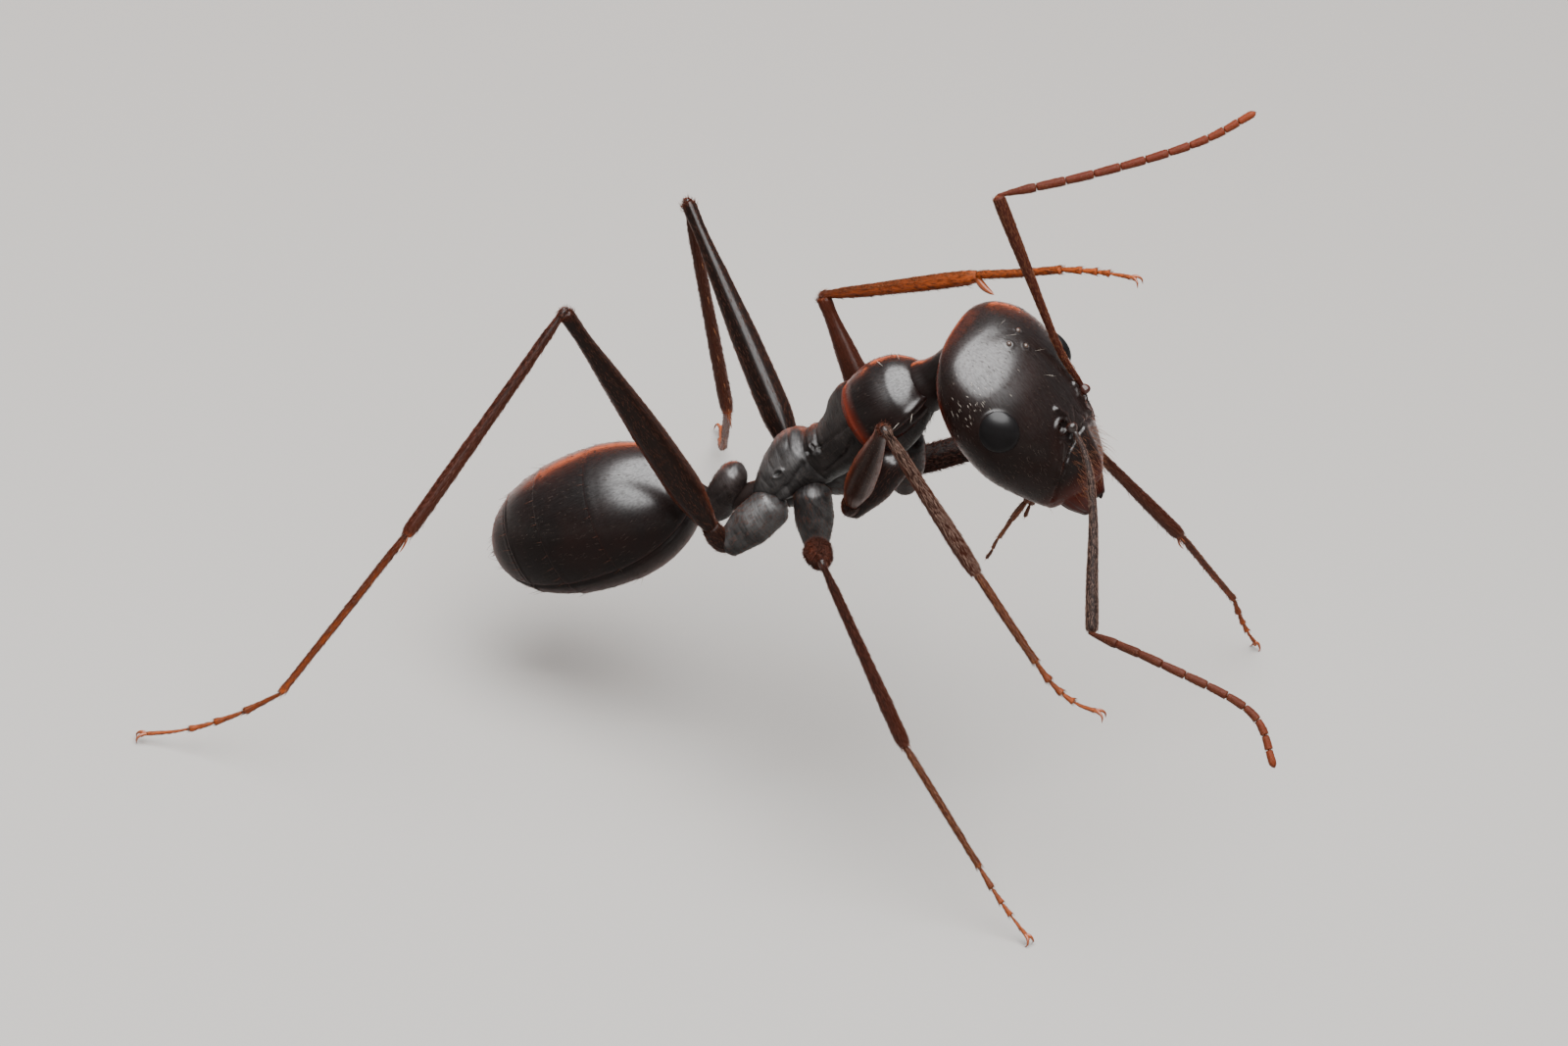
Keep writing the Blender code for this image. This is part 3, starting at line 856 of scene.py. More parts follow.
@dataclass
class Loft(Skin):
    """A body plate through oval rows: place along it, height above, depth below, half width."""

    rows: Sequence[Row]
    place: Vector
    turn: Matrix
    caps: tuple[float, float] = (0.03, 0.03)
    reliefs: Sequence[Relief] = ()
    around: int = 112
    along: int = 80
    SLOPE = 2e-3                     # the step of u and v under a relief

    def __post_init__(self) -> None:
        """Closes the rows with points, and squares them so that the ends come out round."""
        rows = np.array(self.rows)
        above, below = rows[:, 1], rows[:, 2]
        self._knots = np.array([rows[0, 0] - self.caps[0], *rows[:, 0], rows[-1, 0] + self.caps[1]])
        self._lift = np.pad((above - below) / 2, 1, "edge")
        self._tall = np.pad((above + below) / 2, 1) ** 2
        self._wide = np.pad(rows[:, 3], 1) ** 2
        self._level = np.pad(np.clip(above / (above + below), 0.25, 0.8), 1, "edge")
        u, v = np.meshgrid(np.linspace(0, 1, 241), np.linspace(0, 1, 161))
        shell = self.base(u.ravel(), v.ravel())
        self.reliefs = [relief.laid(shell) for relief in self.reliefs]

    def base(self, u: Array, v: Array) -> Array:
        """Gives the plain surface in the plate's own frame.

        Args:
            u: Shares round it.
            v: Shares from root to tip.

        Returns:
            The places.
        """
        x = self._knots[0] + (self._knots[-1] - self._knots[0]) * (1 - np.cos(np.pi * np.clip(v, 0, 1))) / 2
        tall = np.sqrt(np.maximum(eased(self._knots, self._tall, x), 0))
        wide = np.sqrt(np.maximum(eased(self._knots, self._wide, x), 0))
        level = eased(self._knots, self._level, x)
        side, up = np.cos(2 * np.pi * u), np.sin(2 * np.pi * u)
        rise = eased(self._knots, self._lift, x) + (1 - 2 * level) * tall
        return np.column_stack([x, side * wide, rise + up * 2 * tall * np.where(up > 0, level, 1 - level)])

    def surface(self, u: Array, v: Array) -> Array:
        """Gives the surface with its reliefs, in millimetres about the trunk's middle.

        Args:
            u: Shares round it.
            v: Shares from root to tip.

        Returns:
            The places.
        """
        points = self.base(u, v)
        if self.reliefs:
            step = self.SLOPE
            wide = self.base(u + step, v) - self.base(u - step, v)
            long = self.base(u, np.clip(v + step, 0, 1)) - self.base(u, np.clip(v - step, 0, 1))
            out = unit(np.cross(long, wide))
            middle = eased(self._knots, self._lift, points[:, 0])
            hub = np.column_stack([points[:, 0], np.zeros(len(u)), middle])
            out *= np.sign(np.sum(out * (points - hub), axis=1, keepdims=True) + TINY)
            points = points + out * sum(r.height(points) for r in self.reliefs)[:, None]
        return points @ np.array(self.turn).T + np.array(self.place)


@dataclass
class Tube(Skin):
    """A limb stretch round a centre line, with u = 0 on its upper side."""

    path: Sequence[Vector]
    girths: Knots
    caps: tuple[float, float] = (0.05, 0.05)
    up: Vector = field(default_factory=lambda: Vector((0, 0, 1)))
    flat: float = 1.0
    ribs: int = 0
    rib_depth: float = 0.0
    around: int = 20
    along: int = 44
    STATIONS = 24                    # points of the centre line between two places
    CROWDING = 0.82                  # how much closer the rings stand at the ends

    def __post_init__(self) -> None:
        """Works out the centre line and the directions across it."""
        points = [np.array(p) for p in self.path]
        points = [2 * points[0] - points[1], *points, 2 * points[-1] - points[-2]]
        line = []
        for p0, p1, p2, p3 in zip(points, points[1:], points[2:], points[3:]):
            for t in np.linspace(0, 1, self.STATIONS, endpoint=False):
                line.append(0.5 * (2 * p1 + (p2 - p0) * t + (2 * p0 - 5 * p1 + 4 * p2 - p3) * t ** 2
                                   + (3 * p1 - p0 - 3 * p2 + p3) * t ** 3))
        line.append(points[-2])
        self._line = np.array(line)
        runs = unit(np.gradient(self._line, axis=0))
        steps = np.linalg.norm(np.diff(self._line, axis=0), axis=1)
        self._length = float(steps.sum())
        self._shares = np.concatenate([[0], np.cumsum(steps)]) / self._length
        first = np.array(self.up) - runs[0] * (np.array(self.up) @ runs[0])
        if np.linalg.norm(first) < 1e-3:
            first = np.cross(runs[0], (0.0, 1.0, 0.0))
        tops = [first / np.linalg.norm(first)]
        for run in runs[1:]:
            top = tops[-1] - run * (tops[-1] @ run)
            tops.append(top / np.linalg.norm(top))
        self._tops = np.array(tops)
        self._sides = np.cross(runs, self._tops)

    def _read(self, table: Array, share: Array) -> Array:
        """Reads a table of vectors at shares of the length."""
        return np.column_stack([np.interp(share, self._shares, table[:, i]) for i in range(3)])

    def centre(self, share: Array) -> Array:
        """Gives places on the centre line at shares of the length."""
        return self._read(self._line, share)

    def surface(self, u: Array, v: Array) -> Array:
        """Gives the surface in millimetres about the trunk's middle.

        Args:
            u: Shares round it.
            v: Shares from root to tip.

        Returns:
            The places.
        """
        v = np.clip(v, 0, 1)
        share = v - self.CROWDING * np.sin(2 * np.pi * v) / (2 * np.pi)
        girth = eased(*np.array(self.girths, dtype=float).T, share)
        for cap, away in zip(self.caps, (share, 1 - share)):
            short = 1 - np.clip(away * self._length / cap, 0, 1)
            girth = girth * np.sqrt(np.maximum(1 - short ** 2, 0))
        girth = girth * (1 + self.rib_depth * np.cos(2 * np.pi * self.ribs * u))
        top, side = np.cos(2 * np.pi * u), np.sin(2 * np.pi * u)
        across = (self._read(self._tops, share) * (top * self.flat)[:, None]
                  + self._read(self._sides, share) * side[:, None])
        return self.centre(share) + across * girth[:, None]


@dataclass
class Route:
    """A smooth line through given places, read at shares of its length."""

    places: Sequence[Vector]

    def cut(self, start: float, end: float, count: int = 4) -> list[Vector]:
        """Gives places between two shares of the length."""
        line = Tube(self.places, ((0, 1), (1, 1)))
        return [Vector(p) for p in line.centre(np.linspace(start, end, count))]


# ---- hairs
@dataclass
class Coat:
    """A mesh of many fine hairs that grow from skins, each a slim bent three-sided cone."""

    name: str
    finish: Finish
    slot: Slot
    seed: int
    _hairs: list[dict[str, Array]] = field(default_factory=list, init=False)
    _skins: int = field(default=0, init=False)

    PATCH = 0.003                # width of a hair's patch on the baking map
    MARGIN = 0.04                # rim of each skin's cell on that map
    RINGS = ((0.0, 1.0), (0.55, 0.62))        # shares of the length and of the girth
    SHORTEST, SPREAD = 0.72, 0.56             # of the mean length

    def __post_init__(self) -> None:
        """Seeds the draw."""
        self.rng = np.random.default_rng(self.seed)

    def sow(self, skin: Skin, spacing: float, length: float, girth: float, lift: float, *,
            where: Choice | None = None, **lay: float) -> None:
        """Plants hairs all over a skin, a mean spacing apart where they are wanted."""
        u, v = skin.scatter(spacing, self.rng, where)
        self.plant(skin, u, v, length, girth, lift, **lay)

    def plant(self, skin: Skin, u: Array, v: Array, length: float, girth: float, lift: float, *,
              unrest: float = 10.0, toward: float = 1.0, curl: float = 0.12) -> None:
        """Grows hairs at given shares of a skin.

        Args:
            skin: The skin.
            u: The roots' shares round it.
            v: Their shares from its root to its tip.
            length: Mean length.
            girth: Radius at the root.
            lift: Degrees off the surface.
            unrest: Degrees by which directions differ.
            toward: 1 to lie toward the skin's tip, -1 toward its root.
            curl: Share of its length by which a hair bends back to the skin.
        """
        u, v = np.asarray(u, float), np.asarray(v, float)
        count = len(u)
        self._skins += 1
        if not count:
            return
        out, along = skin.normals(u, v), skin.lengthwise(u, v) * toward
        aside = np.cross(out, along)
        rise = np.radians(lift + unrest * 0.6 * self.rng.standard_normal(count))[:, None]
        swing = np.radians(unrest * self.rng.standard_normal(count))[:, None]
        run = np.cos(rise) * (np.cos(swing) * along + np.sin(swing) * aside) + np.sin(rise) * out
        long = (length * (self.SHORTEST + self.SPREAD * self.rng.random(count)))[:, None]
        self._hairs.append({
            "root": skin.surface(u, v) - out * girth, "run": run, "long": long,
            "sink": -out * long * curl, "girth": np.full((count, 1), girth),
            "share": np.column_stack([u, v]), "skin": np.full(count, self._skins - 1)})

    def build(self) -> None:
        """Makes the hairs one mesh with its baking map, and sets it into the frame."""
        hair = {key: np.concatenate([batch[key] for batch in self._hairs]) for key in self._hairs[0]}
        count = len(hair["root"])
        first = unit(np.cross(hair["run"], hair["sink"] + 1e-9))
        second = np.cross(hair["run"], first)
        rings, shares = [], []
        for station, slim in self.RINGS:
            middle = hair["root"] + hair["run"] * hair["long"] * station + hair["sink"] * station ** 2
            for k in range(3):
                turn = 2 * math.pi * k / 3
                across = first * math.cos(turn) + second * math.sin(turn)
                rings.append(middle + across * hair["girth"] * slim)
                shares.append(((k - 1) / 3, station - 0.5, station))
        rings.append(hair["root"] + hair["run"] * hair["long"] + hair["sink"])
        shares.append((0.0, 0.5, 1.0))
        points = np.stack(rings, axis=1).reshape(-1, 3)
        points[:, 2] = np.maximum(points[:, 2], FLOOR_LEVEL + CLEARANCE)
        pattern = [(k, (k + 1) % 3, 3 + (k + 1) % 3, 3 + k) for k in range(3)]
        pattern += [(3 + k, 3 + (k + 1) % 3, 6) for k in range(3)] + [(2, 1, 0)]
        faces = [tuple(7 * i + k for k in face) for i in range(count) for face in pattern]
        mesh = bpy.data.meshes.new(self.name)
        mesh.from_pydata(points.tolist(), [], faces)
        made = bpy.data.objects.new(self.name, mesh)
        bpy.context.scene.collection.objects.link(made)
        mesh.shade_smooth()
        shares = np.array(shares)
        columns = math.ceil(math.sqrt(self._skins))
        cell = np.column_stack([hair["skin"] % columns, hair["skin"] // columns])
        patch = (cell + self.MARGIN + (1 - 2 * self.MARGIN) * hair["share"]) / columns
        places = (patch[:, None, :] + shares[None, :, :2] * self.PATCH).reshape(-1, 2)
        corners = np.empty(len(mesh.loops), dtype=np.int32)
        mesh.loops.foreach_get("vertex_index", corners)
        layer = mesh.uv_layers.new(name="OFBake")
        layer.data.foreach_set("uv", places[corners].astype(np.float32).ravel())
        Bench.mark(made, "along", np.tile(shares[:, 2], count))
        Bench.settle(made, self.finish, self.slot)


# ---- head
@dataclass
class Head:
    """The head's shell with its eyes, ocelli and feeler seats."""

    eye_place: Spot = (-0.12, 1.36, 0.42)
    eye_half: Spot = (0.405, 0.375, 0.205)
    eye_tilt: float = 24.0
    eye_bare: float = 0.46           # distance from the eye's middle within which no hair grows
    ocelli: tuple[tuple[float, float], ...] = ((-0.88, 0.0), (-1.12, 0.22), (-1.12, -0.22))
    ocellus: float = 0.052
    lens_rise: float = 0.0036
    skin: Loft = field(init=False)

    def __post_init__(self) -> None:
        """Shapes the shell's surface: its seats, its ridges and its sunken lines."""
        beads = [Crater((x, abs(y), self.crown(x, y)), self.ocellus * 1.25, 0.012, 0.012, 0.02)
                 for x, y in self.ocelli[:2]]
        reliefs = (
            Crater(self.eye_place, 0.375, 0.05, 0.014, 0.035, stretch=(1.0, 0.88, 0.88)),
            Crater(FEELER_SEAT, 0.135, 0.07, 0.055, 0.036),
            Welt(((0.28, 0.42, 1.03), (0.50, 0.33, 1.07), (0.78, 0.34, 1.03), (0.94, 0.46, 0.95)),
                 0.045, 0.065),
            Welt(((0.58, 0.0, 1.08), (0.90, 0.22, 1.00)), 0.030, -0.020),
            Welt(((-0.75, 0.0, 1.03), (0.55, 0.0, 1.08)), 0.022, -0.010),
            Welt(((0.92, 0.0, 1.00), (0.98, 0.30, 0.97), (1.06, 0.58, 0.84), (1.38, 0.84, 0.50),
                  (1.66, 0.84, 0.15)), 0.032, -0.040),
            Welt(((0.80, 0.64, 0.88), (1.10, 0.78, 0.74), (1.42, 0.92, 0.46)), 0.030, 0.030),
            Welt(((1.02, 0.0, 0.98), (1.90, 0.0, 0.66)), 0.15, 0.050),
            Welt(((1.93, 0.0, 0.62), (1.90, 0.40, 0.50), (1.84, 0.62, 0.25)), 0.040, 0.035),
            Welt(((-1.50, 0.55, -0.36), (-0.40, 0.22, -0.94), (0.90, 0.14, -0.90)), 0.035, -0.030),
            Welt(((-0.30, 0.0, -0.95), (1.70, 0.0, -0.60)), 0.030, -0.035),
            *beads)
        self.skin = Loft(HEAD_ROWS, HEAD_CENTRE, HEAD_TURN, (0.03, 0.04), reliefs, around=264, along=190)

    @staticmethod
    def crown(forward: float, out: float) -> float:
        """Gives the height of the face side over a point of the head's level plane.

        Args:
            forward: The point's place along the head.
            out: Its distance from the middle.

        Returns:
            The height.
        """
        rows = np.array(HEAD_ROWS)
        tall, wide = (float(eased(rows[:, 0], rows[:, i], np.array([forward]))[0]) for i in (1, 3))
        return tall * math.sqrt(max(1 - (out / wide) ** 2, 0.0))

    @staticmethod
    def local(places: Array) -> Array:
        """Gives places in the head's own frame."""
        return (places - np.array(HEAD_CENTRE)) @ np.array(HEAD_TURN)

    @staticmethod
    def thin(u: Array, v: Array) -> Array:
        """Gives the share of red at the nape's rim and the mouth's border; the nape's red is a painted
        reflection of a warm rim light.
        """
        return (1 - stepped(0.02, 0.10, v)) * 0.20 + stepped(0.74, 0.92, v) * 0.40

    def polish(self, u: Array, v: Array) -> Array:
        """Gives the share of lacquer, worn off toward the mouth and in the feelers' seats.

        Args:
            u: Shares round the head.
            v: Shares from nape to mouth.

        Returns:
            The share of lacquer at each place.
        """
        own = folded(self.local(self.skin.surface(u, v)), True)
        seat = np.exp(-np.sum((own - np.array(FEELER_SEAT)) ** 2, axis=1) / 0.30 ** 2)
        return self.skin.polish(u, v) * (1 - 0.75 * stepped(0.66, 0.84, v)) * (1 - 0.55 * seat)

    def eye(self, side: Side) -> None:
        """Makes one eye as a low dome of small lenses.

        Args:
            side: The side it sits on.
        """
        name = "eye_" + side.tag
        Bench.clear()
        bpy.ops.mesh.primitive_ico_sphere_add(subdivisions=5, radius=1.0)
        made = bpy.context.object
        made.name = made.data.name = name
        lenses = len(made.data.vertices)
        bpy.ops.object.mode_set(mode="EDIT")
        bpy.ops.mesh.select_all(action="SELECT")
        bpy.ops.mesh.subdivide(number_cuts=1)
        bpy.ops.object.mode_set(mode="OBJECT")
        total = len(made.data.vertices)
        points = np.empty(total * 3)
        made.data.vertices.foreach_get("co", points)
        points = unit(points.reshape(-1, 3))
        half = np.array(self.eye_half)
        out = unit(points / half)
        raised = (np.arange(total) < lenses).astype(float)
        points = points * half + out * (raised * self.lens_rise)[:, None]
        made.data.vertices.foreach_set("co", points.ravel())
        Bench.mark(made, "lens", raised)
        turn = HEAD_TURN @ Matrix.Rotation(math.radians(-side.sign * (90 - self.eye_tilt)), 3, "X")
        Bench.mark(made, "polish", 0.02 + 0.98 * stepped(0.0, 0.55, (out @ np.array(turn).T)[:, 2]))
        made.data.transform(Matrix.Translation(on_head(*side.set(self.eye_place))) @ turn.to_4x4())
        Bench.weld(made)
        Bench.settle(made, LENS, Slot.EYE, name)

    def ocellus_beads(self) -> None:
        """Makes the three glassy beads on the crown."""
        beads = []
        for x, y in self.ocelli:
            Bench.clear()
            bpy.ops.mesh.primitive_uv_sphere_add(segments=24, ring_count=14, radius=self.ocellus,
                                                 location=on_head(x, y, self.crown(x, y) - 0.012))
            bead = bpy.context.object
            bead.data.transform(bead.matrix_world)
            bead.matrix_world = Matrix.Identity(4)
            bpy.ops.object.shade_smooth()
            beads.append(bead)
        Bench.assemble("ocelli", beads, BEAD, Slot.EYE, solid=False)

    def off_eye(self, places: Array) -> Array:
        """Keeps hairs off the eyes.

        Args:
            places: Places of the roots.

        Returns:
            1 for each root that stays, otherwise 0.
        """
        keep = np.ones(len(places))
        for side in Side:
            eye = np.array(on_head(*side.set(self.eye_place)))
            keep *= np.linalg.norm(places - eye, axis=1) > self.eye_bare
        return keep

    def corner(self, u: Array, v: Array, places: Array) -> Array:
        """Keeps the silvery hairs of the hind corners, behind and over the eye.

        Args:
            u: Shares round the head.
            v: Shares from nape to mouth.
            places: Places of the roots.

        Returns:
            The share of the roots kept at each.
        """
        own = self.local(places)
        near = np.exp(-((own[:, 0] + 0.80) / 0.36) ** 2 - ((own[:, 2] - 0.30) / 0.34) ** 2)
        return near * self.off_eye(places)

    def shield(self, u: Array, v: Array, places: Array) -> Array:
        """Keeps the hairs of the shield over the mouth."""
        own = self.local(places)
        return (own[:, 0] > 0.95) * (np.abs(own[:, 1]) < 0.62) * (own[:, 2] > 0.15) * 1.0

    def hairs(self) -> None:
        """Grows the short coat, the long bristles and the tall bristles of the crown."""
        down = Coat("hairs_head", DARK_HAIR, Slot.HEAD, 11)
        down.sow(self.skin, 0.085, 0.085, 0.0030, 9, unrest=16, where=lambda u, v, p: self.off_eye(p))
        down.build()
        silver = Coat("hairs_head_corners", PALE_HAIR, Slot.HEAD, 14)
        silver.sow(self.skin, 0.085, 0.075, 0.0038, 9, unrest=7, curl=0.05, where=self.corner)
        silver.build()
        bristles = Coat("bristles_head", FRINGE_HAIR, Slot.HEAD, 12)
        bristles.sow(self.skin, 0.105, 0.20, 0.0034, 46, unrest=17, curl=0.22, where=self.shield)
        bristles.plant(self.skin, np.linspace(0.10, 0.40, 17), np.full(17, 0.915), 0.33, 0.0048, 24,
                       unrest=11, curl=0.2)
        bristles.plant(self.skin, np.tile(np.linspace(0.17, 0.33, 8), 2), np.repeat((0.715, 0.77), 8),
                       0.46, 0.0036, 48, unrest=13, curl=0.25)
        bristles.plant(self.skin, np.linspace(0.60, 0.90, 10), np.full(10, 0.90), 0.20, 0.0045, 50,
                       unrest=15)
        bristles.build()
        tall = Coat("setae_crown", PALE_HAIR, Slot.HEAD, 13)
        tall.plant(self.skin, (0.247, 0.262, 0.243, 0.268), (0.205, 0.245, 0.36, 0.43), 0.23, 0.0045, 62,
                   unrest=8, curl=0.1)
        tall.build()

    def build(self) -> None:
        """Makes the whole head."""
        self.skin.dress("head", HEAD_SHELL, Slot.HEAD, {"thin": self.thin, "polish": self.polish})
        for side in Side:
            self.eye(side)
        self.ocellus_beads()
        self.hairs()


@dataclass
class Mouth:
    """The jaws with their teeth, and the feelers of the mouth."""

    root: Spot = (1.88, 0.37, 0.20)
    length: float = 0.50
    closed: float = 17.0
    teeth: int = 5
    palp: tuple[Spot, ...] = ((1.62, 0.28, -0.45), (1.76, 0.29, -0.80), (1.96, 0.31, -1.26),
                              (2.20, 0.33, -1.80), (2.36, 0.33, -2.05), (2.46, 0.33, -2.26))
    short_palp: tuple[Spot, ...] = ((1.62, 0.12, -0.50), (1.86, 0.14, -0.84), (2.05, 0.20, -1.10))

    def jaw(self, side: Side) -> None:
        """Makes one closed jaw with its row of teeth.

        Args:
            side: The side it hinges on.
        """
        turn = HEAD_TURN @ Matrix.Rotation(math.radians(-side.sign * self.closed), 3, "Z")
        place = on_head(*side.set(self.root))
        rows = []
        for t in (-0.35, -0.1, 0.2, 0.5, 0.8, 1.0):
            slim = 1 - 0.5 * max(t, 0.0)
            half = 0.32 * (1 - 0.55 * max(t, 0.0) ** 1.5)
            rows.append((self.length * t, 0.29 * slim, 0.26 * slim, half))
        grooves = []
        for a in np.radians(range(15, 375, 30)):
            line = tuple((x, half * math.cos(a), above * math.sin(a)) for x, above, _, half in rows[1:-1])
            grooves.append(Welt(line, 0.020, -0.016, both=False))
        blade = Loft(rows, place, turn, (0.05, 0.05), grooves, around=96, along=60)
        parts = [blade.cast("jaw", {"tip": lambda u, v: stepped(0.6, 1.0, v)})]
        for k in range(self.teeth):
            t = k / (self.teeth - 1)
            inward = -side.sign * (0.02 + 0.12 * t)
            foot = place + turn @ Vector((self.length * (0.97 - 0.42 * t), inward, 0.08 - 0.18 * t))
            point = foot + turn @ Vector((0.10 - 0.04 * t, -side.sign * (0.02 + 0.05 * t), -0.02))
            tooth = Tube([foot, foot.lerp(point, 0.5), point], ((0, 0.062), (0.5, 0.046), (1, 0.012)),
                         caps=(0.01, 0.012), around=12, along=12)
            parts.append(tooth.cast("tooth", {"tip": lambda u, v: v * 0 + 1.0}))
        Bench.assemble("mandible_" + side.tag, parts, MOUTH, Slot.MOUTH)

    def feelers(self, side: Side) -> None:
        """Makes the long palp and the short palp of one side.

        Args:
            side: The side they hang on.
        """
        parts = []
        coat = Coat("hairs_palp_" + side.tag, GOLD_HAIR, Slot.MOUTH, 21)
        for places, girth, shares in ((self.palp, 0.046, (0, 0.20, 0.46, 0.72, 0.86, 1)),
                                      (self.short_palp, 0.048, (0, 0.3, 0.65, 1))):
            route = Route([on_head(*side.set(place)) for place in places])
            for k, (start, end) in enumerate(zip(shares, shares[1:])):
                thick = girth * (1 - 0.35 * start)
                girths = ((0, 0.6 * thick), (0.12, 0.8 * thick), (0.8, thick), (1, 0.75 * thick))
                link = Tube(route.cut(start, end), girths, caps=(0.03, 0.03), around=14, along=18)
                parts.append(link.cast("palp", {"along": lambda u, v, k=k: v * 0 + 0.25 * k}))
                coat.sow(link, 0.055, 0.075, 0.0042, 25)
        Bench.assemble("palp_" + side.tag, parts, PALP_SKIN, Slot.MOUTH)
        coat.build()

    def build(self) -> None:
        """Makes the mouth."""
        for side in Side:
            self.jaw(side)
            self.feelers(side)


@dataclass
class Feeler:
    """One feeler: a long downy shaft and a lash of eleven links."""

    side: Side
    shaft: tuple[Spot, ...]      # the line of the long first joint, from its ball to its elbow
    stretches: tuple[Spot, ...]  # azimuth, elevation and length from the seat to the lash's tip
    links: tuple[float, ...] = (0.66, 0.50, 0.48, 0.46, 0.43, 0.40, 0.37, 0.33, 0.30, 0.27, 0.33)
    shaft_girths: Knots = (
        (0.0, 0.050), (0.010, 0.092), (0.022, 0.104), (0.036, 0.084), (0.050, 0.046), (0.068, 0.050),
        (0.20, 0.064), (0.33, 0.070), (0.48, 0.080), (0.62, 0.095), (0.76, 0.107), (0.93, 0.118),
        (0.985, 0.110), (1.0, 0.088))

    def lash_line(self) -> Route:
        """Gives the lash's line, from the elbow to the tip.

        Returns:
            The line.
        """
        places = [on_head(*self.side.set(FEELER_SEAT))]
        for azimuth, elevation, length in self.stretches:
            places.append(places[-1] + aim(azimuth, elevation) * length)
        return Route(places[2:])

    def build(self) -> None:
        """Makes the shaft, the lash and their down."""
        right = self.side is Side.RIGHT
        # The left feeler gets the redder skin and redder down: a painted glow of back light.
        finish, down = (FEELER_SKIN, SILK_HAIR) if right else (PAINTED_GLOW_FEELER, FRINGE_HAIR)
        shaft = Tube([Vector(place) for place in self.shaft], self.shaft_girths, caps=(0.05, 0.06),
                     around=36, along=150, ribs=9, rib_depth=0.012)
        marks = {"reach": lambda u, v: 0.15 + 0.25 * stepped(0.9, 1.0, v) + 0.5 * stepped(0.975, 1.0, v),
                 "polish": lambda u, v: 1 - stepped(0.15, 0.19, v)}
        shaft.dress("scape_" + self.side.tag, finish, Slot.FEELER, marks)
        coat = Coat("hairs_feeler_" + self.side.tag, down, Slot.FEELER, 31)
        coat.sow(shaft, 0.031, 0.070, 0.0031, 13, unrest=8, where=lambda u, v, p: (v > 0.19) * 1.0)
        coat.build()
        coat = Coat("hairs_lash_" + self.side.tag, FRINGE_HAIR, Slot.FEELER, 32)
        route = self.lash_line()
        ends = np.cumsum([0.0, *self.links]) / sum(self.links)
        parts = []
        for k, (start, end) in enumerate(zip(ends, ends[1:])):
            thick = 0.084 - 0.0012 * k
            first = 0.40 if k == 0 else 0.86
            tip = 0.02 if k < len(self.links) - 1 else 0.14
            girths = ((0, first * thick * 0.9), (0.07, first * thick), (0.45, (first + 1.05) / 2 * thick),
                      (0.88, thick), (1, 0.86 * thick))
            link = Tube(route.cut(start, end, 5), girths, caps=(0.02, tip), around=22, along=30,
                        ribs=7, rib_depth=0.01)
            parts.append(link.cast("link", {
                "reach": lambda u, v, k=k: 0.40 + 0.042 * k + 0.22 * (1 - stepped(0.0, 0.12, v))
                + 0.16 * stepped(0.93, 1.0, v)}))
            coat.sow(link, 0.030, 0.044, 0.0026, 19, unrest=9)
        Bench.assemble("funiculus_" + self.side.tag, parts, finish, Slot.FEELER)
        coat.build()


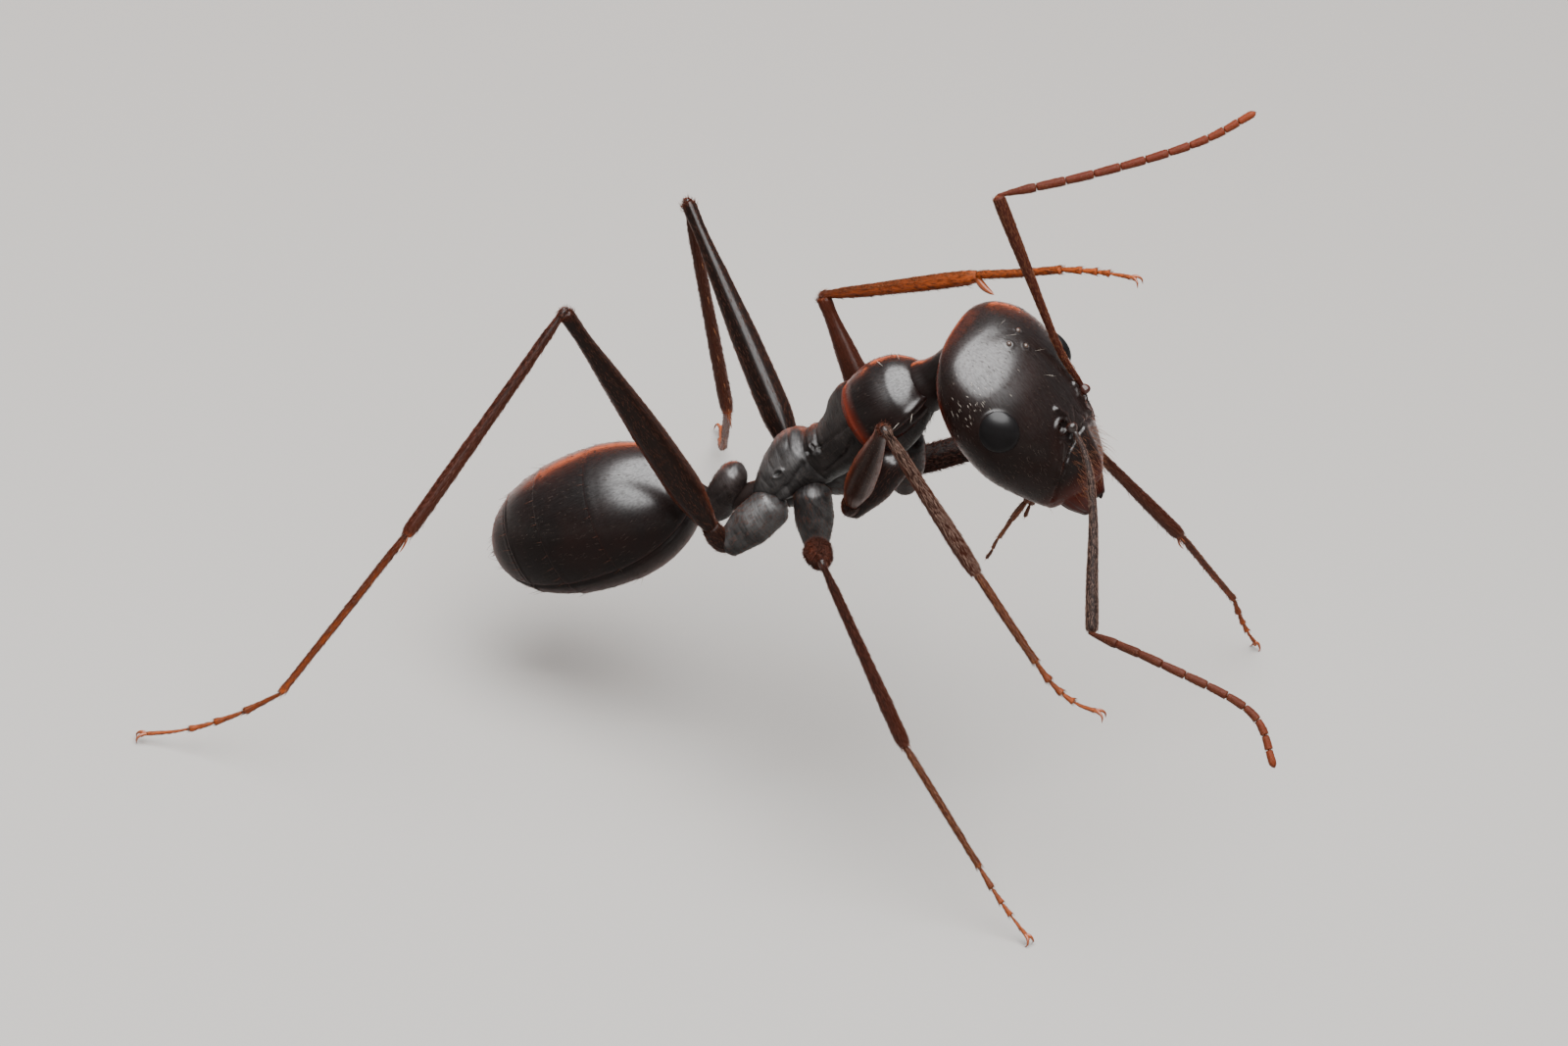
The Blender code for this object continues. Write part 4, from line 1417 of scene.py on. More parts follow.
# ---- trunk
@dataclass
class Trunk:
    """The middle body: neck, pronotum, mesothorax and propodeum with their side plates."""

    lap: float = 0.10            # how far a plate runs under its neighbour
    sink: float = 0.05           # how much narrower it is there

    def under(self, row: Row, further: float) -> Row:
        """Gives the hidden row to which a plate runs on beyond a row."""
        place, above, below, half = row
        return place + further, above - self.sink, below - self.sink, half - self.sink

    def plate(self, rows: Sequence[Row], back: bool, front: bool, caps: tuple[float, float],
              reliefs: Sequence[Relief]) -> Loft:
        """Shapes one plate.

        Args:
            rows: The plate's rows, hindmost first.
            back: Whether it runs on at its back.
            front: Whether it runs on at its front.
            caps: How far it closes beyond its first and last rows.
            reliefs: Its grooves and borders.

        Returns:
            The plate's skin.
        """
        made = list(rows)
        if back:
            made.insert(0, self.under(made[0], -self.lap))
        if front:
            made.append(self.under(made[-1], self.lap))
        return Loft(made, Vector((0, 0, 0)), TRUNK_TURN, caps, reliefs, around=168, along=110)

    def plates(self) -> dict[str, Loft]:
        """Shapes the three main plates.

        Returns:
            The plates by their nodes' names.
        """
        return {
            "pronotum": self.plate(PRONOTUM_ROWS, True, False, (0.02, 0.03), (
                Welt(((0.62, 0.0, 0.78), (0.62, 0.55, 0.55), (0.62, 0.78, 0.0), (0.64, 0.6, -0.35)),
                     0.045, 0.022),
                Welt(((1.98, 0.40, -0.02), (1.60, 0.74, -0.08), (1.15, 0.84, -0.16), (0.66, 0.74, -0.20)),
                     0.070, 0.030),
                Welt(((1.98, 0.36, -0.13), (1.60, 0.68, -0.23), (1.15, 0.80, -0.30), (0.66, 0.70, -0.33)),
                     0.060, -0.040),
                Welt(((1.90, 0.0, 0.50), (1.90, 0.34, 0.30), (1.92, 0.48, 0.0)), 0.045, -0.022))),
            "mesothorax": self.plate(MESOTHORAX_ROWS, True, True, (0.02, 0.02), (
                Welt(((0.60, 0.62, 0.26), (0.20, 0.60, 0.22), (-0.20, 0.54, 0.18), (-0.55, 0.50, 0.16)),
                     0.040, -0.045),
                Welt(((0.45, 0.66, 0.02), (0.05, 0.62, -0.22), (-0.50, 0.50, -0.30)), 0.045, -0.045),
                Welt(((0.46, 0.0, 0.72), (0.26, 0.0, 0.64)), 0.28, 0.11),
                Welt(((-0.30, 0.0, 0.45), (-0.30, 0.35, 0.34), (-0.30, 0.56, 0.10)), 0.040, -0.050),
                Welt(((-0.46, 0.0, 0.44), (-0.46, 0.33, 0.33), (-0.46, 0.55, 0.10)), 0.050, 0.030),
                Crater((-0.40, 0.46, 0.20), 0.060, 0.045, 0.022, 0.034, stretch=(0.8, 1.0, 1.5)))),
            "propodeum": self.plate(PROPODEUM_ROWS, False, True, (0.04, 0.02), (
                Crater((-1.22, 0.60, 0.14), 0.075, 0.06, 0.040, 0.028, stretch=(1.5, 1.0, 0.8)),
                Welt(((-0.72, 0.58, 0.05), (-1.10, 0.62, -0.12), (-1.60, 0.52, -0.20)), 0.050, -0.050),
                Welt(((-1.35, 0.56, -0.30), (-1.75, 0.44, -0.26)), 0.110, 0.070),
                Welt(((-0.95, 0.0, 0.62), (-1.60, 0.0, 0.38)), 0.050, -0.020),
                *[Welt(((place, 0.0, 0.58 - 0.18 * k), (place, 0.42, 0.42 - 0.14 * k)), 0.035, -0.014)
                  for k, place in enumerate((-0.84, -1.04, -1.24, -1.46))]))}

    @staticmethod
    def side_plate(side: Side) -> Skin:
        """Makes the long plate under the collar that carries the front hip.

        Args:
            side: The side.

        Returns:
            Its skin.
        """
        places = ((2.02, 0.10, -0.06), (1.70, 0.20, -0.26), (1.30, 0.28, -0.44), (0.88, 0.32, -0.56),
                  (0.60, 0.30, -0.62))
        skin = Tube([on_trunk(*side.set(place)) for place in places],
                    ((0, 0.10), (0.2, 0.17), (0.55, 0.26), (0.85, 0.24), (1, 0.15)), caps=(0.12, 0.15),
                    up=on_trunk(0, 0, 1), flat=0.85, around=48, along=60)
        skin.dress("propleuron_" + side.tag, SIDE_SHELL, Slot.DULL, {"polish": skin.polish}, solid=False)
        return skin

    @staticmethod
    def neck() -> None:
        """Makes the neck from the throat to the nape."""
        throat, nape = on_trunk(1.72, 0, 0.0), on_head(-1.25, 0, -0.30)
        skin = Tube([throat, throat.lerp(nape, 0.5), nape],
                    ((0, 0.50), (0.25, 0.44), (0.45, 0.34), (0.7, 0.28), (1, 0.27)), around=64, along=70)
        skin.dress("neck", SHELL, Slot.CUTICLE, {"polish": skin.polish})

    def build(self) -> None:
        """Makes the trunk and its down."""
        plates = self.plates()
        pronotum, meso, propodeum = plates.values()
        # The pronotum's hind border is painted red: partly the red of thinner cuticle, partly a painted
        # reflection of a warm rim light.
        pronotum.dress("pronotum", SHELL, Slot.CUTICLE, {
            "polish": pronotum.polish, "thin": lambda u, v: (1 - stepped(0.19, 0.33, v)) * 0.70})
        meso.dress("mesothorax", SIDE_SHELL, Slot.CUTICLE, {"polish": meso.polish})
        propodeum.dress("propodeum", DULL, Slot.DULL, {"polish": propodeum.polish})
        self.neck()
        coat = Coat("hairs_trunk", DARK_HAIR, Slot.DULL, 41)
        for skin, spacing in ((pronotum, 0.12), (meso, 0.12), (propodeum, 0.085)):
            coat.sow(skin, spacing, 0.080, 0.0032, 13, unrest=18, toward=-1.0)
        for side in Side:
            coat.sow(self.side_plate(side), 0.075, 0.11, 0.0036, 24, unrest=18)
        coat.build()
        tall = Coat("setae_trunk", PALE_HAIR, Slot.DULL, 42)
        tall.plant(pronotum, (0.20, 0.25, 0.30, 0.23), (0.62, 0.70, 0.60, 0.48), 0.20, 0.0065, 65,
                   unrest=10, toward=-1.0)
        tall.plant(pronotum, (0.965, 0.955, 0.970, 0.535, 0.545), (0.55, 0.63, 0.70, 0.55, 0.66), 0.28,
                   0.0065, 45, unrest=12, toward=-1.0)
        tall.build()


@dataclass
class Waist:
    """The petiole: a low node on the stalk between trunk and gaster."""

    foot: Spot = (-2.04, 0.0, -2.03)
    top: Spot = (-1.80, 0.0, -1.17)
    thick: float = 0.31
    wide: float = 0.37

    def build(self) -> None:
        """Makes the node, its stalk and its down."""
        foot, top = Vector(self.foot), Vector(self.top)
        tall = (top - foot).length
        lean = math.degrees(math.atan2(top.x - foot.x, top.z - foot.z))
        rows = [(-0.22, 0.20, 0.20, 0.24), (0.0, self.thick, self.thick, self.wide * 0.9),
                (tall * 0.55, self.thick * 0.95, self.thick, self.wide),
                (tall * 0.86, self.thick * 0.78, self.thick * 0.8, self.wide * 0.82),
                (tall, self.thick * 0.42, self.thick * 0.42, self.wide * 0.5)]
        node = Loft(rows, foot, turned(pitch=lean - 90), (0.10, 0.05), (
            Welt(((0.10, 0.30, 0.15), (0.55, 0.36, 0.0)), 0.05, -0.025),
            Crater((0.12, 0.30, 0.18), 0.05, 0.03, 0.02, 0.02)), around=96, along=70)
        node.dress("petiole", WAIST_SHELL, Slot.CUTICLE, {"polish": node.polish})
        stalk = Tube([on_trunk(-1.95, 0, -0.16), foot.lerp(top, 0.12), Vector((-2.62, 0, -1.86))],
                     ((0, 0.24), (0.35, 0.22), (0.7, 0.17), (1, 0.22)), around=40, along=50)
        stalk.dress("waist_stalk", SOFT_SKIN, Slot.DULL, solid=False)
        coat = Coat("hairs_petiole", DARK_HAIR, Slot.CUTICLE, 51)
        coat.sow(node, 0.07, 0.08, 0.0032, 20, unrest=16)
        coat.build()


@dataclass
class Gaster:
    """The egg-shaped hind body of four lapped plates, with its belly seams and nozzle."""

    front: Spot = (-2.46, 0.0, -1.74)
    length: float = 4.16
    slope: float = 35.0
    radius: float = 1.27
    cuts: tuple[float, ...] = (0.40, 0.66, 0.84)
    lip: float = 0.014
    lap: float = 0.12
    seam: float = -0.62              # the belly seams' angle round from the side, in radians
    bristles: tuple[int, ...] = (26, 30, 26, 18)

    def girth(self, share: float) -> float:
        """Gives the egg's radius at a share of its length from the waist."""
        swell = max(1 - abs(2 * share - 1) ** 2.15, 0.0) ** 0.5
        return self.radius * swell * (1.0 + 0.10 * math.sin(math.pi * share) * (0.5 - share))

    def turn(self) -> Matrix:
        """Gives the turn whose X runs from the waist to the tip, with Z upward.

        Returns:
            The 3x3 turn.
        """
        run = aim(180.0, -self.slope)
        side = Vector((0, 1, 0)).cross(run).normalized()
        return Matrix((run, side.cross(run), side)).transposed()

    def rows(self, number: int, start: float, end: float) -> list[Row]:
        """Gives one plate's rows, which stand closer together toward the egg's ends.

        Args:
            number: The plate's number from the waist.
            start: The share of the egg's length at which it comes out.
            end: The share at its hind border.

        Returns:
            The rows.
        """
        shares = np.linspace(start, end, 9)
        if number == 1:
            shares = start + (end - start) * np.linspace(0, 1, 12) ** 1.7
        if number == 4:
            shares = end - (end - start) * np.linspace(1, 0, 10) ** 1.7
        rows = []
        for share in shares:
            girth = self.girth(float(share)) + self.lip * (share - start) / (end - start) * (number < 4)
            rows.append((float(share) * self.length, girth, girth, girth))
        if number > 1:
            inner = self.girth(start) - 0.05
            rows.insert(0, (start * self.length - self.lap, inner, inner, inner))
        return rows

    def build(self) -> None:
        """Makes the plates, the nozzle and the hairs."""
        borders = (0.002, *self.cuts, 0.998)
        front, turn = Vector(self.front), self.turn()
        coat = Coat("hairs_gaster", DARK_HAIR, Slot.CUTICLE, 61)
        fringe = Coat("setae_gaster", BROWN_HAIR, Slot.CUTICLE, 62)
        for number, (start, end) in enumerate(zip(borders, borders[1:]), start=1):
            rows = self.rows(number, start, end)
            seam = tuple((x, g * math.cos(self.seam), g * math.sin(self.seam)) for x, g, _, _ in rows)
            welt = Welt(seam[3:] if number == 1 else seam, 0.045, -0.040)
            plate = Loft(rows, front, turn, (0.02, 0.015), (welt,), around=168, along=84)
            # The red border mark gives a faint red toward each plate's hind border.
            marks = {"thin": lambda u, v: stepped(0.88, 0.99, v) * 0.10, "polish": plate.polish}
            plate.dress(f"gaster_{number}", SHELL, Slot.CUTICLE, marks)
            coat.sow(plate, 0.12, 0.10, 0.0032, 10, unrest=12, where=lambda u, v, p: (v > 0.12) * 1.0)
            count = self.bristles[number - 1]
            fringe.plant(plate, self.ring(count, number), np.full(count, 0.90 if number < 4 else 0.80),
                         0.14 + 0.03 * number, 0.0042, 24 + 6 * number, unrest=12)
        tip = front + turn @ Vector((self.length * 0.985, 0, 0))
        run = turn @ Vector((1, 0, 0))
        nozzle = Tube([tip - run * 0.14, tip, tip + run * 0.10], ((0, 0.20), (0.6, 0.13), (1, 0.075)),
                      caps=(0.02, 0.02), around=32, along=24)
        nozzle.dress("gaster_nozzle", SOFT_SKIN, Slot.CUTICLE, solid=False)
        fringe.sow(nozzle, 0.05, 0.14, 0.0045, 30, where=lambda u, v, p: (v > 0.6) * 1.0)
        coat.build()
        fringe.build()

    @staticmethod
    def ring(count: int, seed: int) -> Array:
        """Spreads a plate's bristles round it with small differences."""
        rng = np.random.default_rng(seed)
        return (np.arange(count) + 0.6 * rng.random(count)) / count


# ---- legs
@dataclass(frozen=True)
class LegPlan:
    """The sizes of a pair of legs."""

    lengths: tuple[float, ...]   # hip, trochanter, femur, tibia, basitarsus, tarsus
    base: Spot
    hip: float
    trochanter: float
    femur: Knots
    tibia: Knots
    basitarsus: float
    shine: float                 # of the femur
    comb: bool = False           # whether the tibia's main spur is a curved comb


class Pair(Enum):
    """The three pairs of legs."""

    FRONT = LegPlan(
        (1.34, 0.42, 3.36, 3.12, 1.89, 1.35), (1.05, 0.42, 0.00), 0.37, 0.17,
        ((0, 0.11), (0.08, 0.17), (0.25, 0.250), (0.45, 0.240), (0.7, 0.175), (0.90, 0.120),
         (0.965, 0.128), (1, 0.10)),
        ((0, 0.075), (0.03, 0.086), (0.06, 0.074), (0.15, 0.098), (0.45, 0.120), (0.75, 0.138),
         (0.93, 0.130), (1, 0.095)), 0.074, 0.22, comb=True)
    MID = LegPlan(
        (1.02, 0.42, 3.65, 3.67, 2.52, 1.47), (-0.30, 0.42, -1.10), 0.36, 0.165,
        ((0, 0.11), (0.08, 0.16), (0.25, 0.235), (0.45, 0.225), (0.7, 0.165), (0.90, 0.115),
         (0.965, 0.125), (1, 0.10)),
        ((0, 0.060), (0.03, 0.075), (0.06, 0.060), (0.15, 0.080), (0.5, 0.098), (0.80, 0.120),
         (0.95, 0.120), (1, 0.085)), 0.062, 0.05)
    HIND = LegPlan(
        (1.16, 0.52, 5.23, 4.83, 3.61, 2.53), (-0.97, 0.43, -1.52), 0.40, 0.19,
        ((0, 0.12), (0.06, 0.19), (0.20, 0.285), (0.42, 0.262), (0.68, 0.190), (0.90, 0.125),
         (0.97, 0.132), (1, 0.10)),
        ((0, 0.070), (0.025, 0.084), (0.05, 0.068), (0.13, 0.090), (0.45, 0.108), (0.80, 0.122),
         (0.95, 0.122), (1, 0.085)), 0.066, 0.45)


@dataclass(frozen=True)
class Stance:
    """How one leg is held, and how much painted red glow of back light it has over the others."""

    runs: Knots                  # azimuth and elevation of hip, femur, tibia, basitarsus, tarsus
    sag: float                   # how far the middle of the small links hangs below their line
    # Painted red glow of back light shining through the leg.
    painted_backlight_glow: float = 0.0


STANCES: dict[tuple[Side, Pair], Stance] = {
    (Side.RIGHT, Pair.FRONT): Stance(
        ((-165.3, -61.4), (-72.9, 51.2), (-0.3, -47.3), (-15.6, -39.4), (-4.1, -25.0)), 0.17),
    (Side.LEFT, Pair.FRONT): Stance(
        ((83.5, -65.7), (164.5, 52.5), (-9.4, 26.4), (-22.5, 27.2), (-11.6, 13.9)), -0.03, 0.42),
    (Side.RIGHT, Pair.MID): Stance(
        ((-30.2, -70.4), (-78.9, 24.6), (-4.9, -55.1), (-17.8, -41.0), (-19.5, -37.4)), 0.05),
    (Side.LEFT, Pair.MID): Stance(
        ((50.6, -12.1), (40.7, 11.1), (33.3, -41.3), (54.4, -44.1), (60.0, -51.1)), 0.08),
    (Side.RIGHT, Pair.HIND): Stance(
        ((-146.7, -48.3), (-157.1, 51.0), (-123.6, -52.2), (-139.1, -56.7), (-162.5, -26.7)), 0.20),
    (Side.LEFT, Pair.HIND): Stance(
        ((78.7, -21.6), (142.8, 38.7), (42.0, -69.9), (99.3, -37.2), (103.0, -19.0)), 0.16),
}


@dataclass
class Leg:
    """One leg from its hip to its claws."""

    side: Side
    pair: Pair
    link_shares: tuple[float, ...] = (0.0, 0.30, 0.52, 0.70, 1.0)
    link_height: float = 0.085       # least height of the small links' middles over the floor

    def __post_init__(self) -> None:
        """Works out the joints, the directions between them and the leg's outer side."""
        self.plan: LegPlan = self.pair.value
        self.stance = STANCES[self.side, self.pair]
        self.tag = f"{self.side.tag}_{self.pair.name.lower()}"
        self.standing = self.pair is not Pair.FRONT
        self.furry = self.pair is Pair.MID
        hip, thigh, *rest = self.stance.runs
        self.joints = [Vector(self.side.set(self.plan.base))]
        for (azimuth, elevation), length in zip((hip, thigh, thigh, *rest), self.plan.lengths):
            self.joints.append(self.joints[-1] + aim(azimuth, elevation) * length)
        if self.standing:
            self.joints[6].z = FLOOR_LEVEL + FOOT_HEIGHT
        self.runs = [(b - a).normalized() for a, b in zip(self.joints, self.joints[1:])]
        self.outer = (self.runs[2] - self.runs[3]).normalized()
        self.seed = 100 + 10 * list(Pair).index(self.pair) + list(Side).index(self.side)
        # The left front leg's upper hairs are redder than the right front leg's: a painted glow of back
        # light.
        silky = {"R_front": SILK_HAIR, "L_front": FRINGE_HAIR}.get(self.tag, RUST_HAIR)
        # A leg with painted back-light glow also gets redder rust hairs.
        self.coat = self.hairs("hairs_leg_", RUST_HAIR if self.stance.painted_backlight_glow else BROWN_HAIR, Slot.LEG, 0)
        self.rust = self.hairs("hairs_knee_", KNEE_HAIR if self.furry else RUST_HAIR, Slot.LEG, 7)
        self.silk = self.hairs("silk_leg_", silky, Slot.LEG, 3)
        self.toes = self.hairs("silk_foot_", FRINGE_HAIR, Slot.FOOT, 4)
        self.bristles = self.hairs("bristles_leg_", GOLD_HAIR, Slot.FOOT, 5)

    def hairs(self, name: str, finish: Finish, slot: Slot, turn: int) -> Coat:
        """Starts one of the leg's coats, whose draw is seeded by its turn."""
        return Coat(name + self.tag, finish, slot, self.seed + turn)

    def reach(self, start: float, end: float, under: float = 0.0) -> dict[str, Rule]:
        """Marks how far down the leg a point is, redder at the next joint; it adds the leg's painted
        back-light glow and a painted red glow in the under side's shade.
        """
        # Adds the leg's painted back-light glow.
        more = start + self.stance.painted_backlight_glow
        return {"reach": lambda u, v: more + (end - start) * v + 0.24 * stepped(0.84, 0.97, v)
                + under * (0.5 - 0.5 * np.cos(2 * np.pi * u))}

    def stretch(self, path: Sequence[Vector], girths: Knots, size: float, around: int, along: int,
                **more: Any) -> Tube:
        """Shapes one stretch of the leg, whose girths are shares of a size."""
        radii = tuple((share, girth * size) for share, girth in girths)
        return Tube(path, radii, up=self.outer, around=around, along=along, **more)

    def hip(self) -> None:
        """Makes the coxa and the small trochanter beyond it."""
        base, joint, knot = self.joints[:3]
        run, on = self.runs[:2]
        coxa = self.stretch([base - run * 0.26, base.lerp(joint, 0.5), joint + run * 0.05],
                            ((0, 0.6), (0.22, 0.96), (0.5, 0.98), (0.8, 0.74), (1, 0.50)),
                            self.plan.hip, 72, 70, caps=(0.25, 0.12))
        coxa.dress("coxa_" + self.tag, DULL if self.standing else SHELL, Slot.DULL, {"polish": coxa.polish})
        trochanter = self.stretch([joint - run * 0.06, joint + on * 0.10, knot + on * 0.04],
                                  ((0, 0.62), (0.3, 0.92), (0.6, 1), (0.9, 0.86), (1, 0.66)),
                                  self.plan.trochanter, 44, 36, caps=(0.06, 0.06))
        trochanter.dress("trochanter_" + self.tag, LIMB, Slot.LEG, self.reach(0.16, 0.26))
        self.coat.sow(coxa, 0.060, 0.085, 0.0032, 15, unrest=12)
        self.coat.sow(trochanter, 0.05, 0.10, 0.0036, 20, unrest=12)

    def long_bones(self) -> None:
        """Makes the femur and the tibia, with the knee between them."""
        knot, knee, ankle = self.joints[2:5]
        thigh, shin = self.runs[2:4]
        out = self.outer
        femur = self.stretch([knot - thigh * 0.03, knot.lerp(knee, 0.35) + out * 0.03, knee + thigh * 0.02],
                             self.plan.femur, 1, 48, 120, caps=(0.05, 0.07), flat=1.08, ribs=5,
                             rib_depth=0.035)
        femur.dress("femur_" + self.tag, LIMB, Slot.LEG, self.reach(-0.35, 0.24) | {
            "polish": lambda u, v: self.plan.shine * femur.polish(u, v) ** 2,
            "matt": lambda u, v: v * 0 + self.furry})
        tibia = self.stretch([knee - out * 0.01 - thigh * 0.02, knee + out * 0.035 + shin * 0.12,
                              knee.lerp(ankle, 0.3) + out * 0.01, knee.lerp(ankle, 0.7),
                              ankle + shin * 0.02],
                             self.plan.tibia, 1, 42, 130, ribs=7, rib_depth=0.025)
        tibia.dress("tibia_" + self.tag, LIMB, Slot.LEG, self.reach(0.16, 0.48, 0.26) | {
            "polish": lambda u, v: 0.05 + 0.85 * (1 - stepped(0.11, 0.16, v))})
        self.coat.sow(femur, 0.055, 0.100, 0.0032, 11, unrest=8)
        if self.furry:
            self.rust.sow(femur, 0.040, 0.095, 0.0046, 38, unrest=14, where=lambda u, v, p: (v > 0.2) * 1.0)
        self.rust.sow(femur, 0.030, 0.11, 0.0052, 44, unrest=16,
                      where=lambda u, v, p: stepped(0.86, 0.93, v))
        self.down(tibia, self.silk, 0.040, 0.120)
        self.bristle_row(tibia, 9, 0.17, 0.30, 0.95)
        self.spurs(ankle, shin)

    def down(self, skin: Tube, silk: Coat, spacing: float, length: float) -> None:
        """Grows silky hairs along a stretch's upper side and brown ones along the rest; the paler hairs on
        top are partly a painted highlight where the light falls.
        """
        silk.sow(skin, spacing * 0.74, length, 0.0034, 11, unrest=6,
                 where=lambda u, v, p: stepped(0.25, 0.70, np.cos(2 * np.pi * u)))
        self.coat.sow(skin, spacing, length, 0.0036, 15, unrest=7,
                      where=lambda u, v, p: 1 - stepped(0.25, 0.70, np.cos(2 * np.pi * u)))

    def bristle_row(self, skin: Tube, count: int, length: float, start: float, end: float,
                    lift: float = 34.0) -> None:
        """Plants a row of stiff bristles along a stretch's under side.

        Args:
            skin: The stretch.
            count: How many.
            length: Their mean length.
            start: The share of the stretch at which the row starts.
            end: The share at which it ends.
            lift: Degrees off the surface.
        """
        rng = np.random.default_rng(self.seed + count)
        u = 0.5 + 0.10 * (rng.random(count) - 0.5)
        v = np.linspace(start, end, count) + 0.02 * (rng.random(count) - 0.5)
        self.bristles.plant(skin, u, v, length, 0.0070, lift, unrest=5, curl=0.08)

    def spurs(self, ankle: Vector, shin: Vector) -> None:
        """Makes the spurs at the tibia's end, the main one curved like a comb on a front leg.

        Args:
            ankle: The tibia's end.
            shin: The tibia's direction.
        """
        inner = -self.outer
        aside = shin.cross(self.outer)
        parts = []
        # angle round the tibia, length, radius, and degrees of spread from the tibia's line
        main = (0.0, 0.26, 0.020, 17.0)
        if self.plan.comb:
            main = (0.0, 0.34, 0.026, 14.0) if self.side is Side.RIGHT else (35.0, 0.54, 0.070, 88.0)
        fans = [main, *[(angle, 0.15, 0.012, 29.0) for angle in (-80.0, -40.0, 38.0, 75.0)]]
        for angle, length, girth, spread in fans:
            a, s = math.radians(angle), math.radians(spread)
            out = inner * math.cos(a) + aside * math.sin(a)
            foot = ankle + out * 0.075 - shin * 0.05
            tip = foot + (shin * math.cos(s) + out * math.sin(s)) * length
            bend = 0.006 if length < 0.2 else 0.030
            middle = foot.lerp(tip, 0.5) + (out - shin * math.sin(s)) * bend
            girths = ((0, girth * 0.8), (0.3, girth), (0.8, girth * 0.55), (1, 0.003))
            spur = Tube([foot, middle, tip], girths, caps=(0.01, 0.005), around=10, along=16)
            parts.append(spur.cast("spur", {"along": lambda u, v: 1 - v}))
        Bench.assemble("spurs_" + self.tag, parts, AMBER, Slot.FOOT, solid=False)

    def foot_line(self, heel: Vector, toe: Vector) -> Route:
        """Gives the line of the small links, which hangs between heel and toe.

        Args:
            heel: Its start.
            toe: Its end.

        Returns:
            The line.
        """
        places = [heel]
        for share in (0.25, 0.5, 0.75):
            drop = self.stance.sag * math.sin(math.pi * share) ** 0.8
            place = heel.lerp(toe, share) - Vector((0, 0, drop))
            place.z = max(place.z, FLOOR_LEVEL + self.link_height)
            places.append(place)
        return Route([*places, toe])

    def foot(self) -> None:
        """Makes the basitarsus, the four small links and their hairs."""
        ankle, heel, toe = self.joints[4:7]
        run, thick = self.runs[4], self.plan.basitarsus
        ribs = {"ribs": 6, "rib_depth": 0.03}
        bulge = 0.045 if self.plan.comb else 0.015
        basitarsus = self.stretch([ankle - self.runs[3] * 0.02, ankle + run * 0.16 + self.outer * bulge,
                                   ankle.lerp(heel, 0.45), heel + run * 0.01],
                                  ((0, 0.55), (0.04, 0.80), (0.14, 1.02), (0.5, 1), (0.9, 0.90),
                                   (0.975, 1.02), (1, 0.6)), thick, 32, 90, caps=(0.03, 0.03), **ribs)
        basitarsus.dress("basitarsus_" + self.tag, LIMB, Slot.FOOT, self.reach(0.42, 0.66, 0.26))
        self.down(basitarsus, self.toes, 0.034, 0.110)
        self.bristle_row(basitarsus, 10, 0.13, 0.10, 0.95)
        self.bristle_row(basitarsus, 4, 0.17, 0.965, 0.975, lift=26.0)
        route = self.foot_line(heel, toe)
        parts = []
        for k, (start, end) in enumerate(zip(self.link_shares, self.link_shares[1:])):
            final = k == len(self.link_shares) - 2
            girths = ((0, 0.40), (0.10, 0.55), (0.60, 0.78), (0.90, 1.06), (1, 0.55))
            if final:
                girths = ((0, 0.32), (0.12, 0.42), (0.75, 0.66), (0.92, 0.72), (1, 0.45))
            link = self.stretch(route.cut(start, end), girths, thick * (0.92 - 0.05 * k), 26, 34,
                                caps=(0.02, 0.03), **ribs)
            parts.append(link.cast("link", self.reach(0.72 + 0.07 * k, 0.78 + 0.07 * k, 0.10)))
            self.down(link, self.toes, 0.034, 0.090)
            if not final:
                self.bristle_row(link, 3, 0.14, 0.86, 0.93, lift=30.0)
        Bench.assemble("tarsus_" + self.tag, parts, LIMB, Slot.FOOT)
        before, last = route.cut(0.97, 1.0, 2)
        self.claws(toe, (last - before).normalized())

    def cleared(self, place: Vector, radius: float) -> Vector:
        """Lifts a place of a standing foot until its flesh clears the floor."""
        low = FLOOR_LEVEL + radius + CLEARANCE
        return Vector((place.x, place.y, max(place.z, low))) if self.standing else place

    def claws(self, toe: Vector, run: Vector) -> None:
        """Makes the two hooked claws and the pad between them.

        Args:
            toe: The end of the last link.
            run: Its direction.
        """
        aside = run.cross(Vector((0, 0, 1))).normalized()
        lift = aside.cross(run).normalized()
        parts = []
        for sign in (-1, 1):
            out = aside * sign
            path = [toe - run * 0.03 + out * 0.02,
                    toe + (run * 0.07 + out * 0.055 + lift * 0.015),
                    toe + (run * 0.15 + out * 0.095 - lift * 0.035),
                    toe + (run * 0.17 + out * 0.115 - lift * 0.135)]
            path = [self.cleared(place, radius) for place, radius in zip(path, (0.026, 0.030, 0.022, 0.006))]
            claw = Tube(path, ((0, 0.026), (0.25, 0.030), (0.7, 0.018), (1, 0.004)), caps=(0.02, 0.006),
                        around=14, along=30)
            parts.append(claw.cast("claw", {"along": lambda u, v: v}))
        path = [self.cleared(place, 0.036) for place in (
            toe - run * 0.02, toe + run * 0.05 - lift * 0.015, toe + run * 0.095 - lift * 0.045)]
        pad = Tube(path, ((0, 0.022), (0.6, 0.036), (1, 0.030)), caps=(0.02, 0.03), around=16, along=16)
        parts.append(pad.cast("pad", {"along": lambda u, v: v * 0}))
        Bench.assemble("claws_" + self.tag, parts, AMBER, Slot.FOOT, solid=False)

    def build(self) -> None:
        """Makes the whole leg."""
        self.hip()
        self.long_bones()
        self.foot()
        for coat in (self.coat, self.silk, self.toes, self.rust, self.bristles):
            coat.build()


